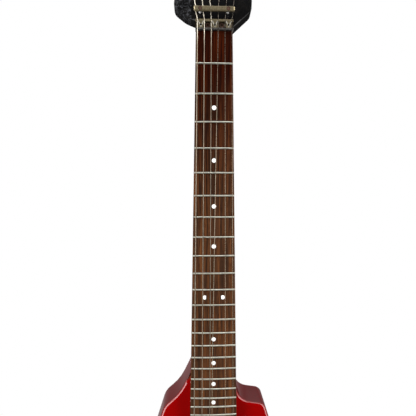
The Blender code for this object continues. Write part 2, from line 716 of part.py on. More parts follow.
def make_neck():
    bm = bmesh.new()
    end = BOARD_END + HEEL_TAIL
    sections = (
        (HEAD_START - HEAD_SINK, HEAD_THICKNESS - 4 * MM, 2.6, HEAD_FACE - 3 * MM),
        (HEAD_START, NECK_DEPTH_NUT - 2 * MM, 2.6),
        (0, NECK_DEPTH_NUT, 2.3),
        (SCALE * 0.06, NECK_DEPTH_NUT, 2.2),
        (HEEL_START, NECK_DEPTH_BODY, 2.2),
        ((HEEL_START + HEEL_SQUARE) / 2, (NECK_DEPTH_BODY + HEEL_DEPTH) / 2, 3.5),
        (HEEL_SQUARE, HEEL_DEPTH, 8),
        (end, HEEL_DEPTH, 8),
    )
    loft(bm, [neck_section(*section) for section in sections])
    neck = solid("neck", bm, NECK_WOOD)

    bm = bmesh.new()
    half = TENON_WIDTH / 2
    bottom = -BOARD_THICKNESS - GAP - HEEL_DEPTH
    box(bm, FRONT, (-half, half), (end - 2 * MM, end + TENON_LENGTH), (bottom, TENON_TOP))
    tenon = solid("tenon", bm, NECK_WOOD)
    bm = bmesh.new()
    edged_plate(bm, HEAD, head_outline(), -HEAD_THICKNESS, 0, HEAD_EDGE, 2)
    head = solid("headstock", bm, BLACK)
    bm = bmesh.new()
    half = NUT_WIDTH / 2 - NUT_OVERHANG
    box(bm, FRONT, (-half, half), (HEAD_START, -GAP), (NUT_BOTTOM - 6 * MM, NUT_BOTTOM - GAP))
    shelf = solid("nut_shelf", bm, NECK_WOOD)
    cut(neck, [tenon, head, shelf], "UNION")

    posts = [at(HEAD, *tuner_place(i)[:2]) for i in range(6)]
    bores = holes("bushing_holes", posts, SLEEVE_RADIUS + GAP, -HEAD_THICKNESS - 1 * MM, 1 * MM, 10)
    rear = Matrix.Rotation(math.pi, 4, "X")
    screws = [at(HEAD, *tuner_screw_place(i), -HEAD_THICKNESS) @ rear for i in range(6)]
    small = holes("tuner_screw_holes", screws, SMALL_SHANK + GAP, -TUNER_SCREW - GAP, 1 * MM, 6)
    bars = [at(FRONT, side * BAR_SCREW_X, BAR_MIDDLE) for side in (-1, 1)]
    retained = holes("bar_screw_holes", bars, BAR_SHANK + GAP, BAR_TOP - BAR_SCREW - GAP, 0, 8)
    nuts = [at(FRONT, x, -NUT_LENGTH / 2) for x in NUT_SCREW_XS]
    seated = holes("nut_screw_holes", nuts, SMALL_SHANK + GAP, NUT_VALLEY - NUT_SCREW - GAP, 0, 6)
    cut(neck, [bores, small, retained, seated])


def board_section(u, half, levels=6):
    """A cross-section of the board or of a fret's path: the cambered line from one edge to the other."""
    xs = [half * (2 * k / levels - 1) for k in range(levels + 1)]
    return [(x, board_top(x, u)) for x in xs]


def make_fretboard():
    """The cambered board with its frets pressed in: one solid, because frets and board are never parted."""
    bm = bmesh.new()
    rings = []
    for u in (GAP, BOARD_END):
        half = board_width(u) / 2
        ring = [FRONT @ Vector((x, u, h)) for x, h in board_section(u, half)]
        ring += [FRONT @ Vector((side * half, u, -BOARD_THICKNESS)) for side in (1, -1)]
        rings.append(ring)
    loft(bm, rings)
    board = solid("fretboard", bm, ROSEWOOD)
    bm = bmesh.new()
    for number in range(1, FRET_COUNT + 1):
        u = fret_u(number)
        half = board_width(u) / 2 - FRET_INSET
        rings = []
        for x, h in board_section(u, half, 4):
            crown = ((-1, -TANG_DEPTH), (1, -TANG_DEPTH), (1, 0), (0.5, 1), (-0.5, 1), (-1, 0))
            section = [(u + s * FRET_WIDTH / 2, h + c * FRET_HEIGHT) for s, c in crown]
            rings.append([FRONT @ Vector((x, along, height)) for along, height in section])
        loft(bm, rings)
    cut(board, [solid("frets", bm, NICKEL)], "UNION")


def string_x(string, u):
    """Across position of a string between the nut and the bridge. The slack one sways aside."""
    share = min(max(u / SCALE, 0), 1)
    span = STRING_SPAN_NUT + (STRING_SPAN_BRIDGE - STRING_SPAN_NUT) * share
    return span * (string / 5 - 0.5) + STRING_SHIFT * (1 - share)


def string_height(string, u):
    """Height of a string's middle, which follows the board's camber."""
    share = min(max(u / SCALE, 0), 1)
    rise = STRING_HEIGHT_NUT + (STRING_HEIGHT_BRIDGE - STRING_HEIGHT_NUT) * share
    half = board_width(0) / 2
    camber = math.sqrt(BOARD_RADIUS**2 - string_x(string, u) ** 2) - math.sqrt(BOARD_RADIUS**2 - half**2)
    return rise + camber - BOARD_CROWN + STRING_DIAMETERS[string] / 2


def make_nut():
    """The base of the locking nut: a block with two notched ridges and three raised pads between them."""
    half = NUT_WIDTH / 2 + NUT_OVERHANG
    step = GAP / 4
    cuts = [(-half, half, NUT_TOP, NUT_VALLEY)]
    for string in range(6):
        x = string_x(string, 0)
        reach = STRING_DIAMETERS[string] / 2 + GAP
        floor = string_height(string, 0) - reach
        cuts.append((x - reach, x + reach, floor, NUT_VALLEY))
    for x in NUT_PAD_XS:
        cuts.append((x - NUT_ISLAND / 2, x + NUT_ISLAND / 2, NUT_TOP, NUT_PAD_TOP))
    marks = sorted({mark for low, high, _, _ in cuts for mark in (low, high)})
    stations = []
    for low, high in zip(marks, marks[1:]):
        if high - low < 3 * step:
            continue
        middle = (low + high) / 2
        ridge, valley = [(r, v) for a, b, r, v in cuts if a <= middle <= b][-1]
        stations += [(low + step, ridge, valley), (high - step, ridge, valley)]
    rings = []
    for x, ridge, valley in stations:
        rear = ridge - NUT_DROP
        section = (
            (-NUT_LENGTH, NUT_BOTTOM),
            (-GAP, NUT_BOTTOM),
            (-GAP, ridge),
            (-NUT_RIDGE, ridge),
            (-NUT_RIDGE - 0.4 * MM, valley),
            (-NUT_LENGTH + NUT_RIDGE + 0.4 * MM, min(valley, rear)),
            (-NUT_LENGTH + NUT_RIDGE, rear),
            (-NUT_LENGTH, rear),
        )
        rings.append([FRONT @ Vector((x, u, h)) for u, h in section])
    bm = bmesh.new()
    loft(bm, rings)
    nut = solid("nut_base", bm, AGED)
    clamps = [at(FRONT, x, -NUT_LENGTH / 2) for x in NUT_PAD_XS]
    pads = holes("clamp_holes", clamps, NUT_THREAD, -3 * MM, 5 * MM, 8)
    seats = [at(FRONT, x, -NUT_LENGTH / 2) for x in NUT_SCREW_XS]
    heads = holes("nut_head_holes", seats, NUT_HEAD + GAP, NUT_VALLEY - NUT_HEAD_DEPTH, 5 * MM, 8)
    cut(nut, [pads, heads])
    bm = bmesh.new()
    for seat in seats:
        floor = at(seat, 0, 0, NUT_VALLEY - NUT_HEAD_DEPTH - GAP)
        screw(bm, floor, NUT_HEAD, NUT_HEAD_DEPTH, SMALL_SHANK, NUT_SCREW - NUT_HEAD_DEPTH)
    cut(nut, [solid("nut_screws", bm, RUST)], "UNION")

    bm = bmesh.new()
    low, high = BAR_U
    bottom = BAR_TOP - BAR_THICKNESS
    edge = 1 * MM
    rings = []
    for x, shrink in ((-BAR_HALF, edge), (-BAR_HALF + edge, 0), (BAR_HALF - edge, 0), (BAR_HALF, edge)):
        section = (
            (low + shrink, bottom + edge),
            (low + edge, bottom),
            (high - edge, bottom),
            (high - shrink, bottom + edge),
            (high - shrink, BAR_TOP - edge),
            (high - edge, BAR_TOP - shrink / 2),
            (low + edge, BAR_TOP - shrink / 2),
            (low + shrink, BAR_TOP - edge),
        )
        rings.append([FRONT @ Vector((x, u, h)) for u, h in section])
    loft(bm, rings)
    bar = solid("string_retainer", bm, AGED)
    places = [at(FRONT, side * BAR_SCREW_X, BAR_MIDDLE) for side in (-1, 1)]
    cut(bar, [holes("bar_head_holes", places, BAR_HEAD + GAP, BAR_TOP - BAR_HEAD_DEPTH, 5 * MM, 8)])
    bm = bmesh.new()
    for place in places:
        seat = at(place, 0, 0, BAR_TOP - BAR_HEAD_DEPTH - GAP)
        screw(bm, seat, BAR_HEAD, BAR_HEAD_DEPTH, BAR_SHANK, BAR_SCREW - BAR_HEAD_DEPTH)
    cut(bar, [solid("retainer_screws", bm, RUST)], "UNION")


def make_tuners():
    """Six tuners: a housing behind the head with its sleeve, a post, and a button on its worm shaft."""
    half = HOUSING_WIDTH / 2
    back_face = -HEAD_THICKNESS - GAP
    axis_level = back_face - HOUSING_DEPTH / 2
    bore_floor = back_face - HOUSING_DEPTH * POST_SINK
    for string in range(6):
        across, along, side = tuner_place(string)
        frame = at(HEAD, across, along)
        bm = bmesh.new()
        low, high = -HOUSING_LENGTH / 2, HOUSING_LENGTH / 2
        corners = rounded_rect(half, low, high, HOUSING_CORNER, HOUSING_ARC)
        edged_plate(bm, frame, corners, back_face - HOUSING_DEPTH, back_face, MM, 1)
        housing = solid(f"tuner_housing_{string + 1}", bm, CHROME)
        bm = bmesh.new()
        profile = (
            (SLEEVE_RADIUS, back_face - MM),
            (SLEEVE_RADIUS, GAP),
            (BUSHING_RADIUS, GAP),
            (BUSHING_RADIUS, BUSHING_HEIGHT - 0.6 * MM),
            (SLEEVE_RADIUS, BUSHING_HEIGHT),
        )
        turned(bm, frame, profile, 10)
        sleeve = solid(f"tuner_sleeve_{string + 1}", bm, CHROME)
        bm = bmesh.new()
        screw_x, screw_s = tuner_screw_place(string)
        ends = sorted((across - side * half * 0.6, screw_x - side * EAR_HALF))
        sides = (along - EAR_HALF, along + EAR_HALF)
        box(bm, HEAD, ends, sides, (back_face - EAR_THICKNESS, back_face - GAP / 3))
        ear = solid(f"tuner_ear_{string + 1}", bm, CHROME)
        bm = bmesh.new()
        driven = at(HEAD, screw_x, screw_s, back_face - EAR_THICKNESS) @ Matrix.Rotation(math.pi, 4, "X")
        screw(bm, at(driven, 0, 0, -GAP), SMALL_HEAD, 1.6 * MM, SMALL_SHANK, TUNER_SCREW, 6)
        fixing = solid(f"tuner_screw_{string + 1}", bm, CHROME)
        cut(housing, [sleeve, ear, fixing], "UNION")
        worm = facing(HEAD @ Vector((across, along + WORM_OFFSET, axis_level)), (side, 0, 0))
        bm = bmesh.new()
        turned(bm, frame, ((POST_RADIUS + RUN, bore_floor), (POST_RADIUS + RUN, BUSHING_HEIGHT + MM)), 10)
        bore = solid(f"post_bore_{string + 1}", bm, STEEL)
        bm = bmesh.new()
        turned(bm, worm, ((WORM_RADIUS + RUN, -half * WORM_SINK), (WORM_RADIUS + RUN, half + MM)), 10)
        cut(housing, [bore, solid(f"worm_bore_{string + 1}", bm, STEEL)])

        bm = bmesh.new()
        profile = (
            (POST_RADIUS, bore_floor + GAP),
            (POST_RADIUS, POST_WAIST[0] - 0.6 * MM),
            (DRUM_RADIUS, POST_WAIST[0]),
            (DRUM_RADIUS, POST_WAIST[1]),
            (POST_RADIUS, POST_WAIST[1] + 0.6 * MM),
            (POST_RADIUS, POST_TOP - 0.7 * MM),
            (DRUM_RADIUS, POST_TOP),
        )
        turned(bm, frame, profile, 10)
        on_axis(solid(f"tuner_post_{string + 1}", bm, CHROME), frame @ Vector((0, 0, 0)))

        start, reach = half + BUTTON_NECK, half + BUTTON_NECK + BUTTON_LENGTH
        profile = (
            (WORM_RADIUS, -half * WORM_SINK + GAP, 1),
            (WORM_RADIUS, start, 1),
            (BUTTON_RADIUS * 0.8, start + 1.5 * MM, BUTTON_FLATNESS),
            (BUTTON_RADIUS, start + BUTTON_LENGTH * 0.5, BUTTON_FLATNESS),
            (BUTTON_RADIUS * 0.85, reach - 1.5 * MM, BUTTON_FLATNESS),
            (BUTTON_RADIUS * 0.5, reach, BUTTON_FLATNESS),
        )
        rings = []
        for radius, height, flat in profile:
            wide, deep = radius, radius * flat
            ring = [(wide * math.cos(t), deep * math.sin(t)) for t in turn_angles(10)]
            rings.append([worm @ Vector((a, b, height)) for a, b in ring])
        bm = bmesh.new()
        loft(bm, rings)
        on_axis(solid(f"tuner_button_{string + 1}", bm, CHROME), worm @ Vector((0, 0, 0)))


def turn_angles(steps):
    return [2 * math.pi * i / steps for i in range(steps)]


def ring_shape(bm, frame, loop, steps):
    """A turned ring about the frame's out axis, from a closed loop of (radius, height) pairs."""
    rows = []
    for angle in turn_angles(steps):
        cos, sin = math.cos(angle), math.sin(angle)
        rows.append([bm.verts.new(frame @ Vector((r * cos, r * sin, h))) for r, h in loop])
    for i in range(steps):
        near, far = rows[i], rows[(i + 1) % steps]
        for k in range(len(loop)):
            n = (k + 1) % len(loop)
            bm.faces.new((near[k], near[n], far[n], far[k]))


def tube(bm, points, radius, sides=6):
    """A round tube along points, with square ends."""
    tangents = []
    for i in range(len(points)):
        ahead = points[min(i + 1, len(points) - 1)] - points[max(i - 1, 0)]
        tangents.append(ahead.normalized())
    side = tangents[0].orthogonal().normalized()
    rings = []
    for point, tangent in zip(points, tangents):
        side = (side - tangent * side.dot(tangent)).normalized()
        other = tangent.cross(side)
        spokes = [side * math.cos(t) + other * math.sin(t) for t in turn_angles(sides)]
        rings.append([point + spoke * radius for spoke in spokes])
    loft(bm, rings)


def string_path(string):
    """A string's middle line: saddle, fretboard, nut, under the retainer bar, then turns round its post."""
    radius = STRING_DIAMETERS[string] / 2
    bridge = SCALE + SADDLE_BACK[string]
    bridge_x, height = string_x(string, SCALE), string_height(string, SCALE)
    points = [FRONT @ Vector((bridge_x, bridge + STRING_TAIL, height - STRING_TAIL * 0.2))]
    points.append(FRONT @ Vector((bridge_x, bridge, height)))
    nut_x, nut_height = string_x(string, 0), string_height(string, 0)
    if string == SLACK_STRING:
        points += [FRONT @ Vector((x, u, string_height(string, u))) for u, x in reversed(SLACK_SWAY)]
    points.append(FRONT @ Vector((nut_x, 0, nut_height)))
    if string == SLACK_STRING:
        points = smooth_through(points, 4)
    points.append(FRONT @ Vector((nut_x, -NUT_LENGTH - 0.5 * MM, nut_height - NUT_DROP)))
    bar_x = nut_x * BAR_FAN
    points.append(FRONT @ Vector((bar_x, BAR_U[1], BAR_TOP - BAR_THICKNESS - radius - GAP)))
    points.append(FRONT @ Vector((bar_x * 1.01, BAR_U[0], BAR_TOP - BAR_THICKNESS - radius - GAP)))
    across, along, side = tuner_place(string)
    reach = DRUM_RADIUS + radius + RUN
    steps = STRING_STEPS
    turns = STRING_TURNS[string]
    count = int(steps * turns)
    pitch = max(2 * radius + RUN, 0.6 * MM)
    for k in range(count + 1):
        angle = math.pi * (1 + 2 * k / steps)
        level = POST_WAIST[1] - radius - RUN - pitch * k / steps
        place = Vector((across + side * reach * math.cos(angle), along + reach * math.sin(-angle), level))
        points.append(HEAD @ place)
    return points


def smooth_through(points, steps):
    """Extra points between the given ones, on a smooth curve through them all."""
    ends = [points[0] * 2 - points[1], *points, points[-1] * 2 - points[-2]]
    made = []
    for a, b, c, d in zip(ends, ends[1:], ends[2:], ends[3:]):
        for k in range(steps):
            t = k / steps
            square, cube = 2 * a - 5 * b + 4 * c - d, 3 * b - a - 3 * c + d
            made.append((2 * b + (c - a) * t + square * t**2 + cube * t**3) / 2)
    made.append(points[-1])
    return made


def make_strings():
    for string in range(6):
        bm = bmesh.new()
        tube(bm, string_path(string), STRING_DIAMETERS[string] / 2, 6)
        solid(f"string_{string + 1}", bm, STRING_WIRE)


def make_pickups():
    """Two humbuckers: a ring with its screws, and inside it the pickup on its base plate."""
    for name, pickup_u, height in (
        ("neck_pickup", NECK_PICKUP_U, RING_THICKNESS),
        ("bridge_pickup", BRIDGE_PICKUP_U, RING_THICKNESS + RING_STEP),
    ):
        ring_top = BODY_FRONT + GAP + height
        bm = bmesh.new()
        half_a, half_b = RING_SIZE[0] / 2, RING_SIZE[1] / 2
        outline = rounded_rect(half_a, pickup_u - half_b, pickup_u + half_b, RING_CORNER)
        edged_plate(bm, FRONT, outline, BODY_FRONT + GAP, ring_top, MM, 1)
        ring = solid(f"{name}_ring", bm, BLACK_PLASTIC)
        bm = bmesh.new()
        half_a, half_b = PICKUP_SIZE[0] / 2 + WINDOW_GAP, PICKUP_SIZE[1] / 2 + WINDOW_GAP
        outline = rounded_rect(half_a, pickup_u - half_b, pickup_u + half_b, 2 * MM)
        prism(bm, FRONT, outline, BODY_FRONT - MM, ring_top + MM)
        cut(ring, [solid(f"{name}_window", bm, BLACK_PLASTIC)])
        bm = bmesh.new()
        ring_depth, height_depth = height + RING_SCREW_DEPTH, ring_top - PICKUP_TOP + BOBBIN_HEIGHT + GAP
        for place, length in zip(pickup_screw_places(pickup_u), [ring_depth] * 4 + [height_depth] * 2):
            seat = at(FRONT, *place, ring_top - GAP)
            screw(bm, seat, SMALL_HEAD, SMALL_HEAD_HEIGHT, SMALL_SHANK, length, 6)
        cut(ring, [solid(f"{name}_ring_screws", bm, CHROME)], "UNION")

        base_top = PICKUP_TOP - BOBBIN_HEIGHT
        half_a, half_b = PICKUP_SIZE[0] / 2, PICKUP_SIZE[1] / 2
        ear_a, ear_b = HEIGHT_SCREW_X + 3.2 * MM, 6 * MM
        tabs = [(half_a, -half_b), (half_a, -ear_b), (ear_a, -ear_b)]
        tabs += [(a, -b) for a, b in reversed(tabs)]
        tabs += [(-a, b) for a, b in reversed(tabs)]
        bm = bmesh.new()
        prism(bm, FRONT, [(a, pickup_u + b) for a, b in tabs], base_top - PICKUP_BASE, base_top)
        pickup = solid(name, bm, BLACK_PLASTIC)
        bobbins = []
        poles = bmesh.new()
        for side in (-1, 1):
            middle = pickup_u + side * PICKUP_SIZE[1] / 4
            width = BOBBIN_WIDTH / 2
            outline = rounded_rect(half_a, middle - width, middle + width, width * 0.96)
            waist = inset(outline, FLANGE)
            flange = PICKUP_TOP - FLANGE
            layers = ((waist, base_top - GAP), (waist, flange), (outline, flange), (outline, PICKUP_TOP))
            bm = bmesh.new()
            loft(bm, [[FRONT @ Vector((a, b, h)) for a, b in shape] for shape, h in layers])
            bobbins.append(solid(f"{name}_bobbin_{len(bobbins) + 1}", bm, BLACK_PLASTIC))
            for string in range(6):
                foot = at(FRONT, string_x(string, pickup_u), middle, PICKUP_TOP)
                turned(poles, foot, ((POLE_RADIUS, -GAP), (POLE_RADIUS, POLE_RISE)), 6)
        cut(pickup, [*bobbins, solid(f"{name}_poles", poles, STEEL)], "UNION")
        ears = [at(FRONT, *place, base_top) for place in pickup_screw_places(pickup_u)[4:]]
        cut(pickup, [holes(f"{name}_ear_holes", ears, SMALL_SHANK + GAP, -PICKUP_BASE - MM, MM, 8)])


def pivot_point():
    return FRONT @ Vector((0, PIVOT_U, PIVOT_H))


def make_tremolo():
    plate_top = PIVOT_H + PLATE_THICKNESS / 2
    plate_bottom = PIVOT_H - PLATE_THICKNESS / 2
    pivot = pivot_point()

    bm = bmesh.new()
    outline = rounded_rect(PLATE_HALF, PLATE_FRONT, PLATE_END, 3 * MM)
    prism(bm, FRONT, outline, plate_bottom, plate_top)
    plate = solid("tremolo_base_plate", bm, CHROME)
    bm = bmesh.new()
    inner = PLATE_HALF - GANTRY_WALL
    beam = GANTRY_TOP - GANTRY_BEAM
    foot = plate_bottom + MM
    arch = [(inner, beam), (inner, foot), (PLATE_HALF, foot), (PLATE_HALF, GANTRY_TOP)]
    arch += [(-x, h) for x, h in reversed(arch)]
    loft(bm, [[FRONT @ Vector((x, u, h)) for x, h in arch] for u in GANTRY_U])
    gantry = solid("tremolo_gantry", bm, CHROME)
    cut(plate, [gantry], "UNION")
    studs = [at(FRONT, side * STUD_SPACING / 2, PIVOT_U) for side in (-1, 1)]
    knives = holes("knife_edges", studs, KNIFE_RADIUS, *KNIFE_CUT, 12)
    cutters = bmesh.new()
    for stud in studs:
        box(cutters, stud, (-KNIFE_RADIUS, KNIFE_RADIUS), (PLATE_FRONT - PIVOT_U - MM, -GAP), KNIFE_CUT)
    gates = solid("knife_gates", cutters, STEEL)
    places = [at(FRONT, string_x(i, SCALE), FINE_TUNER_U) for i in range(6)]
    threads = holes("fine_tuner_holes", places, FINE_SHANK + RUN, 0, 15 * MM, 10)
    bm = bmesh.new()
    profile = (
        (COLLAR_RADIUS, plate_top - MM),
        (COLLAR_RADIUS, plate_top + COLLAR_HEIGHT - MM),
        (COLLAR_RADIUS - MM, plate_top + COLLAR_HEIGHT),
    )
    turned(bm, at(FRONT, ARM_X, ARM_U), profile, 12)
    cut(plate, [solid("arm_collar", bm, CHROME)], "UNION")
    socket = holes("arm_socket", [at(FRONT, ARM_X, ARM_U)], ARM_RADIUS + GAP, plate_top - MM, 20 * MM, 10)
    cut(plate, [knives, gates, threads, socket])
    on_axis(plate, pivot)

    for string in range(6):
        x = string_x(string, SCALE)
        bridge = SCALE + SADDLE_BACK[string]
        top = string_height(string, SCALE) - STRING_DIAMETERS[string] / 2 - GAP
        low = plate_top + GAP
        arm_end = FINE_TUNER_U + 3 * MM
        profile = (
            (bridge - 2 * MM, low),
            (arm_end, low),
            (arm_end, low + SADDLE_ARM),
            (bridge + 13 * MM, low + SADDLE_ARM),
            (bridge + 7 * MM, top - 2.6 * MM),
            (bridge + 2.5 * MM, top - 0.6 * MM),
            (bridge, top),
            (bridge - 2 * MM, top - 1.8 * MM),
        )
        bm = bmesh.new()
        half = SADDLE_WIDTH / 2
        loft(bm, [[FRONT @ Vector((x + side * half, u, h)) for u, h in profile] for side in (-1, 1)])
        saddle = solid(f"saddle_{string + 1}", bm, CHROME)
        axis = facing(FRONT @ Vector((x, arm_end - GAP, low + SADDLE_ARM / 2)), (0, 0, -1))
        bm = bmesh.new()
        screw(bm, axis, CLAMP_HEAD, 2.9 * MM, CLAMP_SHANK, 2 * MM, 8)
        cut(saddle, [solid(f"saddle_clamp_screw_{string + 1}", bm, STEEL)], "UNION")
        on_axis(saddle, pivot)

    bm = bmesh.new()
    half, thick, deep = BLOCK_SIZE[0] / 2, BLOCK_SIZE[1], BLOCK_SIZE[2]
    outline = rounded_rect(half, BLOCK_START, BLOCK_START + thick, 2 * MM)
    prism(bm, FRONT, outline, plate_bottom - GAP - deep, plate_bottom - GAP)
    on_axis(solid("sustain_block", bm, STEEL), pivot)

    for string in range(6):
        bm = bmesh.new()
        x = string_x(string, SCALE)
        rest = plate_top + GAP + SADDLE_ARM + GAP
        profile = (
            (FINE_SHANK * 0.7, rest),
            (FINE_SHANK, rest + 1 * MM),
            (FINE_SHANK, GANTRY_TOP + GAP),
            (FINE_TUNER_RADIUS, GANTRY_TOP + GAP),
            (FINE_TUNER_RADIUS, GANTRY_TOP + FINE_TUNER_HEIGHT - MM),
            (FINE_TUNER_RADIUS - MM, GANTRY_TOP + FINE_TUNER_HEIGHT),
        )
        turned(bm, at(FRONT, x, FINE_TUNER_U), profile, 10)
        tuner = solid(f"fine_tuner_{string + 1}", bm, CHROME)
        on_axis(tuner, FRONT @ Vector((x, FINE_TUNER_U, GANTRY_TOP)))

    bm = bmesh.new()
    stem = ((0, plate_top - MM + GAP), (0, plate_top + COLLAR_HEIGHT + MM))
    route = [FRONT @ Vector((ARM_X, ARM_U + u, h)) for u, h in (*stem, *ARM_ROUTE)]
    tube(bm, [route[0], *smooth_through(route[1:], 2)], ARM_RADIUS, 10)
    on_axis(solid("tremolo_arm", bm, CHROME), FRONT @ Vector((ARM_X, ARM_U, PIVOT_H)))

    for side, name in ((-1, "bass"), (1, "treble")):
        profile = (
            (STUD_RADIUS, BODY_FRONT - STUD_DEPTH),
            (STUD_RADIUS, PIVOT_H - STUD_CLEAR),
            (STUD_WAIST, PIVOT_H - STUD_CLEAR + 0.4 * MM),
            (STUD_WAIST, PIVOT_H + STUD_CLEAR),
            (STUD_RADIUS, PIVOT_H + STUD_CLEAR + 0.4 * MM),
            (STUD_RADIUS, PIVOT_H + STUD_CLEAR + STUD_HEAD),
            (STUD_RADIUS * 0.7, PIVOT_H + STUD_CLEAR + STUD_HEAD + 0.6 * MM),
        )
        bm = bmesh.new()
        turned(bm, at(FRONT, side * STUD_SPACING / 2, PIVOT_U), profile, 12)
        solid(f"tremolo_stud_{name}", bm, CHROME)

    claw_face = CLAW_U + CLAW_THICKNESS
    bm = bmesh.new()
    outline = ((-CLAW_HALF, CLAW_U), (CLAW_HALF, CLAW_U), (CLAW_HALF, claw_face), (-CLAW_HALF, claw_face))
    prism(bm, FRONT, outline, SPRING_LEVEL - CLAW_HEIGHT / 2, SPRING_LEVEL + CLAW_HEIGHT / 2)
    claw = solid("springs_and_claw", bm, STEEL)
    length = BLOCK_START - claw_face
    bm = bmesh.new()
    for i in (-1, 0, 1):
        end = FRONT @ Vector((i * SPRING_SPACING, claw_face - GAP, SPRING_LEVEL))
        turned(bm, facing(end, (0, 0, -1)), spring_profile(length), 6)
    springs = solid("tremolo_springs", bm, STEEL)
    bm = bmesh.new()
    reach = claw_face - SPRING_CAVITY_U[0] - GAP
    for side in (-1, 1):
        screw(bm, at(claw_frame(side), 0, 0, reach), CLAW_HEAD, 2.6 * MM, CLAW_SHANK, reach + CLAW_SCREW, 8)
    cut(claw, [springs, solid("claw_screws", bm, STEEL)], "UNION")


def spring_profile(length):
    """A closely wound spring's outer shape: a hook end, the ribs of its coils and a hook end."""
    neck = SPRING_RADIUS * 0.45
    pitch = (length - 2 * SPRING_HOOK) / SPRING_RIBS
    profile = [(neck, 0), (neck, SPRING_HOOK)]
    for k in range(SPRING_RIBS):
        start = SPRING_HOOK + pitch * k
        profile += [(SPRING_RADIUS, start + pitch * 0.2), (SPRING_RADIUS * 0.86, start + pitch * 0.9)]
    profile += [(neck, length - SPRING_HOOK), (neck, length)]
    return profile


def make_controls():
    """A volume knob on its pot, a three-way toggle and the output jack, in a line down the treble wing."""
    wall = BODY_FRONT - CONTROL_WALL - GAP
    bushing_top = BODY_FRONT + BUSHING_RISE
    frame = at(FRONT, *CONTROL_LINE[0])
    bm = bmesh.new()
    bush = ((BUSH_RADIUS, wall), (BUSH_RADIUS, bushing_top))
    profile = ((POT_RADIUS, wall - POT_HEIGHT), (POT_RADIUS, wall), *bush)
    turned(bm, frame, profile, 12)
    pot = solid("volume_pot", bm, STEEL)
    cut(pot, [holes("shaft_bore", [frame], POT_SHAFT + GAP, wall - GAP, 0, 12)])
    bm = bmesh.new()
    low = bushing_top + GAP
    profile = (
        (POT_SHAFT, wall),
        (POT_SHAFT, low),
        (KNOB_RADIUS, low),
        (KNOB_RADIUS, low + KNOB_HEIGHT * 0.35),
        (KNOB_RADIUS * 0.86, low + KNOB_HEIGHT * 0.45),
        (KNOB_RADIUS * 0.8, low + KNOB_HEIGHT - MM),
        (KNOB_RADIUS * 0.7, low + KNOB_HEIGHT),
    )
    turned(bm, frame, profile, 16)
    on_axis(solid("volume_knob", bm, BLACK_PLASTIC), frame @ Vector((0, 0, BODY_FRONT)))

    frame = at(FRONT, *CONTROL_LINE[1])
    switch = bmesh.new()
    profile = ((SWITCH_RADIUS, wall - SWITCH_DEPTH), (SWITCH_RADIUS, wall), *bush)
    turned(switch, frame, profile, 12)
    body = solid("toggle_switch", switch, STEEL)
    pivot_h = bushing_top - LEVER_BALL
    cut(body, [holes("lever_bore", [frame], LEVER_BALL + GAP, pivot_h - LEVER_BALL - GAP, 1 * MM, 12)])
    bm = bmesh.new()
    ball = [(math.sin(t) * LEVER_BALL, pivot_h - math.cos(t) * LEVER_BALL) for t in (0.35, 0.9, 1.57, 2.2)]
    profile = (*ball, (LEVER_RADIUS, pivot_h + LEVER_BALL), (LEVER_RADIUS, pivot_h + LEVER_LENGTH - 6 * MM))
    profile += ((LEVER_TIP, pivot_h + LEVER_LENGTH - 4 * MM), (LEVER_TIP, pivot_h + LEVER_LENGTH - MM))
    profile += ((LEVER_TIP * 0.5, pivot_h + LEVER_LENGTH),)
    turned(bm, frame, profile, 12)
    on_axis(solid("toggle_lever", bm, CREAM), frame @ Vector((0, 0, pivot_h)))

    bm = bmesh.new()
    nut_face = BODY_FRONT + GAP
    loop = (
        (JACK_BORE, wall - JACK_DEPTH),
        (BUSH_RADIUS, wall - JACK_DEPTH),
        (BUSH_RADIUS, wall - 2.4 * MM),
        (JACK_NUT, wall - 2.4 * MM),
        (JACK_NUT, wall),
        (BUSH_RADIUS, wall),
        (BUSH_RADIUS, nut_face),
        (JACK_NUT, nut_face),
        (JACK_NUT, nut_face + JACK_RISE),
        (JACK_BORE, nut_face + JACK_RISE),
    )
    ring_shape(bm, at(FRONT, *CONTROL_LINE[2]), loop, 12)
    solid("output_jack", bm, CHROME)


def make_covers():
    """Two back covers, flush in their rebates and held by small screws, and the two strap buttons."""
    for name, outline, places in (
        ("spring_cavity_cover", spring_cavity_outline(COVER_LIP), spring_cover_screws()),
        ("control_cavity_cover", control_outline(COVER_LIP), control_cover_screws()),
    ):
        bm = bmesh.new()
        prism(bm, FRONT, outline, BODY_BACK, BODY_BACK + COVER_THICKNESS)
        cover = solid(name, bm, BLACK_PLASTIC)
        bm = bmesh.new()
        for place in places:
            seat = at(back(place), 0, 0, -GAP)
            screw(bm, seat, SMALL_HEAD, SMALL_HEAD_HEIGHT, SMALL_SHANK, COVER_SCREW_DEPTH - GAP, 6)
        cut(cover, [solid(f"{name}_screws", bm, CHROME)], "UNION")

    profile = (
        (SMALL_SHANK, -STRAP_SCREW),
        (SMALL_SHANK, GAP),
        (STRAP_FOOT, GAP),
        (STRAP_FOOT, 1.8 * MM),
        (STRAP_WAIST, 3.4 * MM),
        (STRAP_WAIST, STRAP_HEIGHT - 3.6 * MM),
        (STRAP_RIM, STRAP_HEIGHT - 1.6 * MM),
        (STRAP_RIM, STRAP_HEIGHT - 0.6 * MM),
        (STRAP_RIM - MM, STRAP_HEIGHT),
    )
    for name, frame in (("strap_button_heel", back(STRAP_TOP)), ("strap_button_tip", tip_frame())):
        bm = bmesh.new()
        turned(bm, frame, profile, 12)
        solid(name, bm, CHROME)


clear_scene()
make_body()
make_neck()
make_fretboard()
make_nut()
make_tuners()
make_strings()
make_pickups()
make_tremolo()
make_controls()
make_covers()
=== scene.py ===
"""A V-shaped electric guitar hanging upright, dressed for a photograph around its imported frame."""
import math
from functools import partialmethod

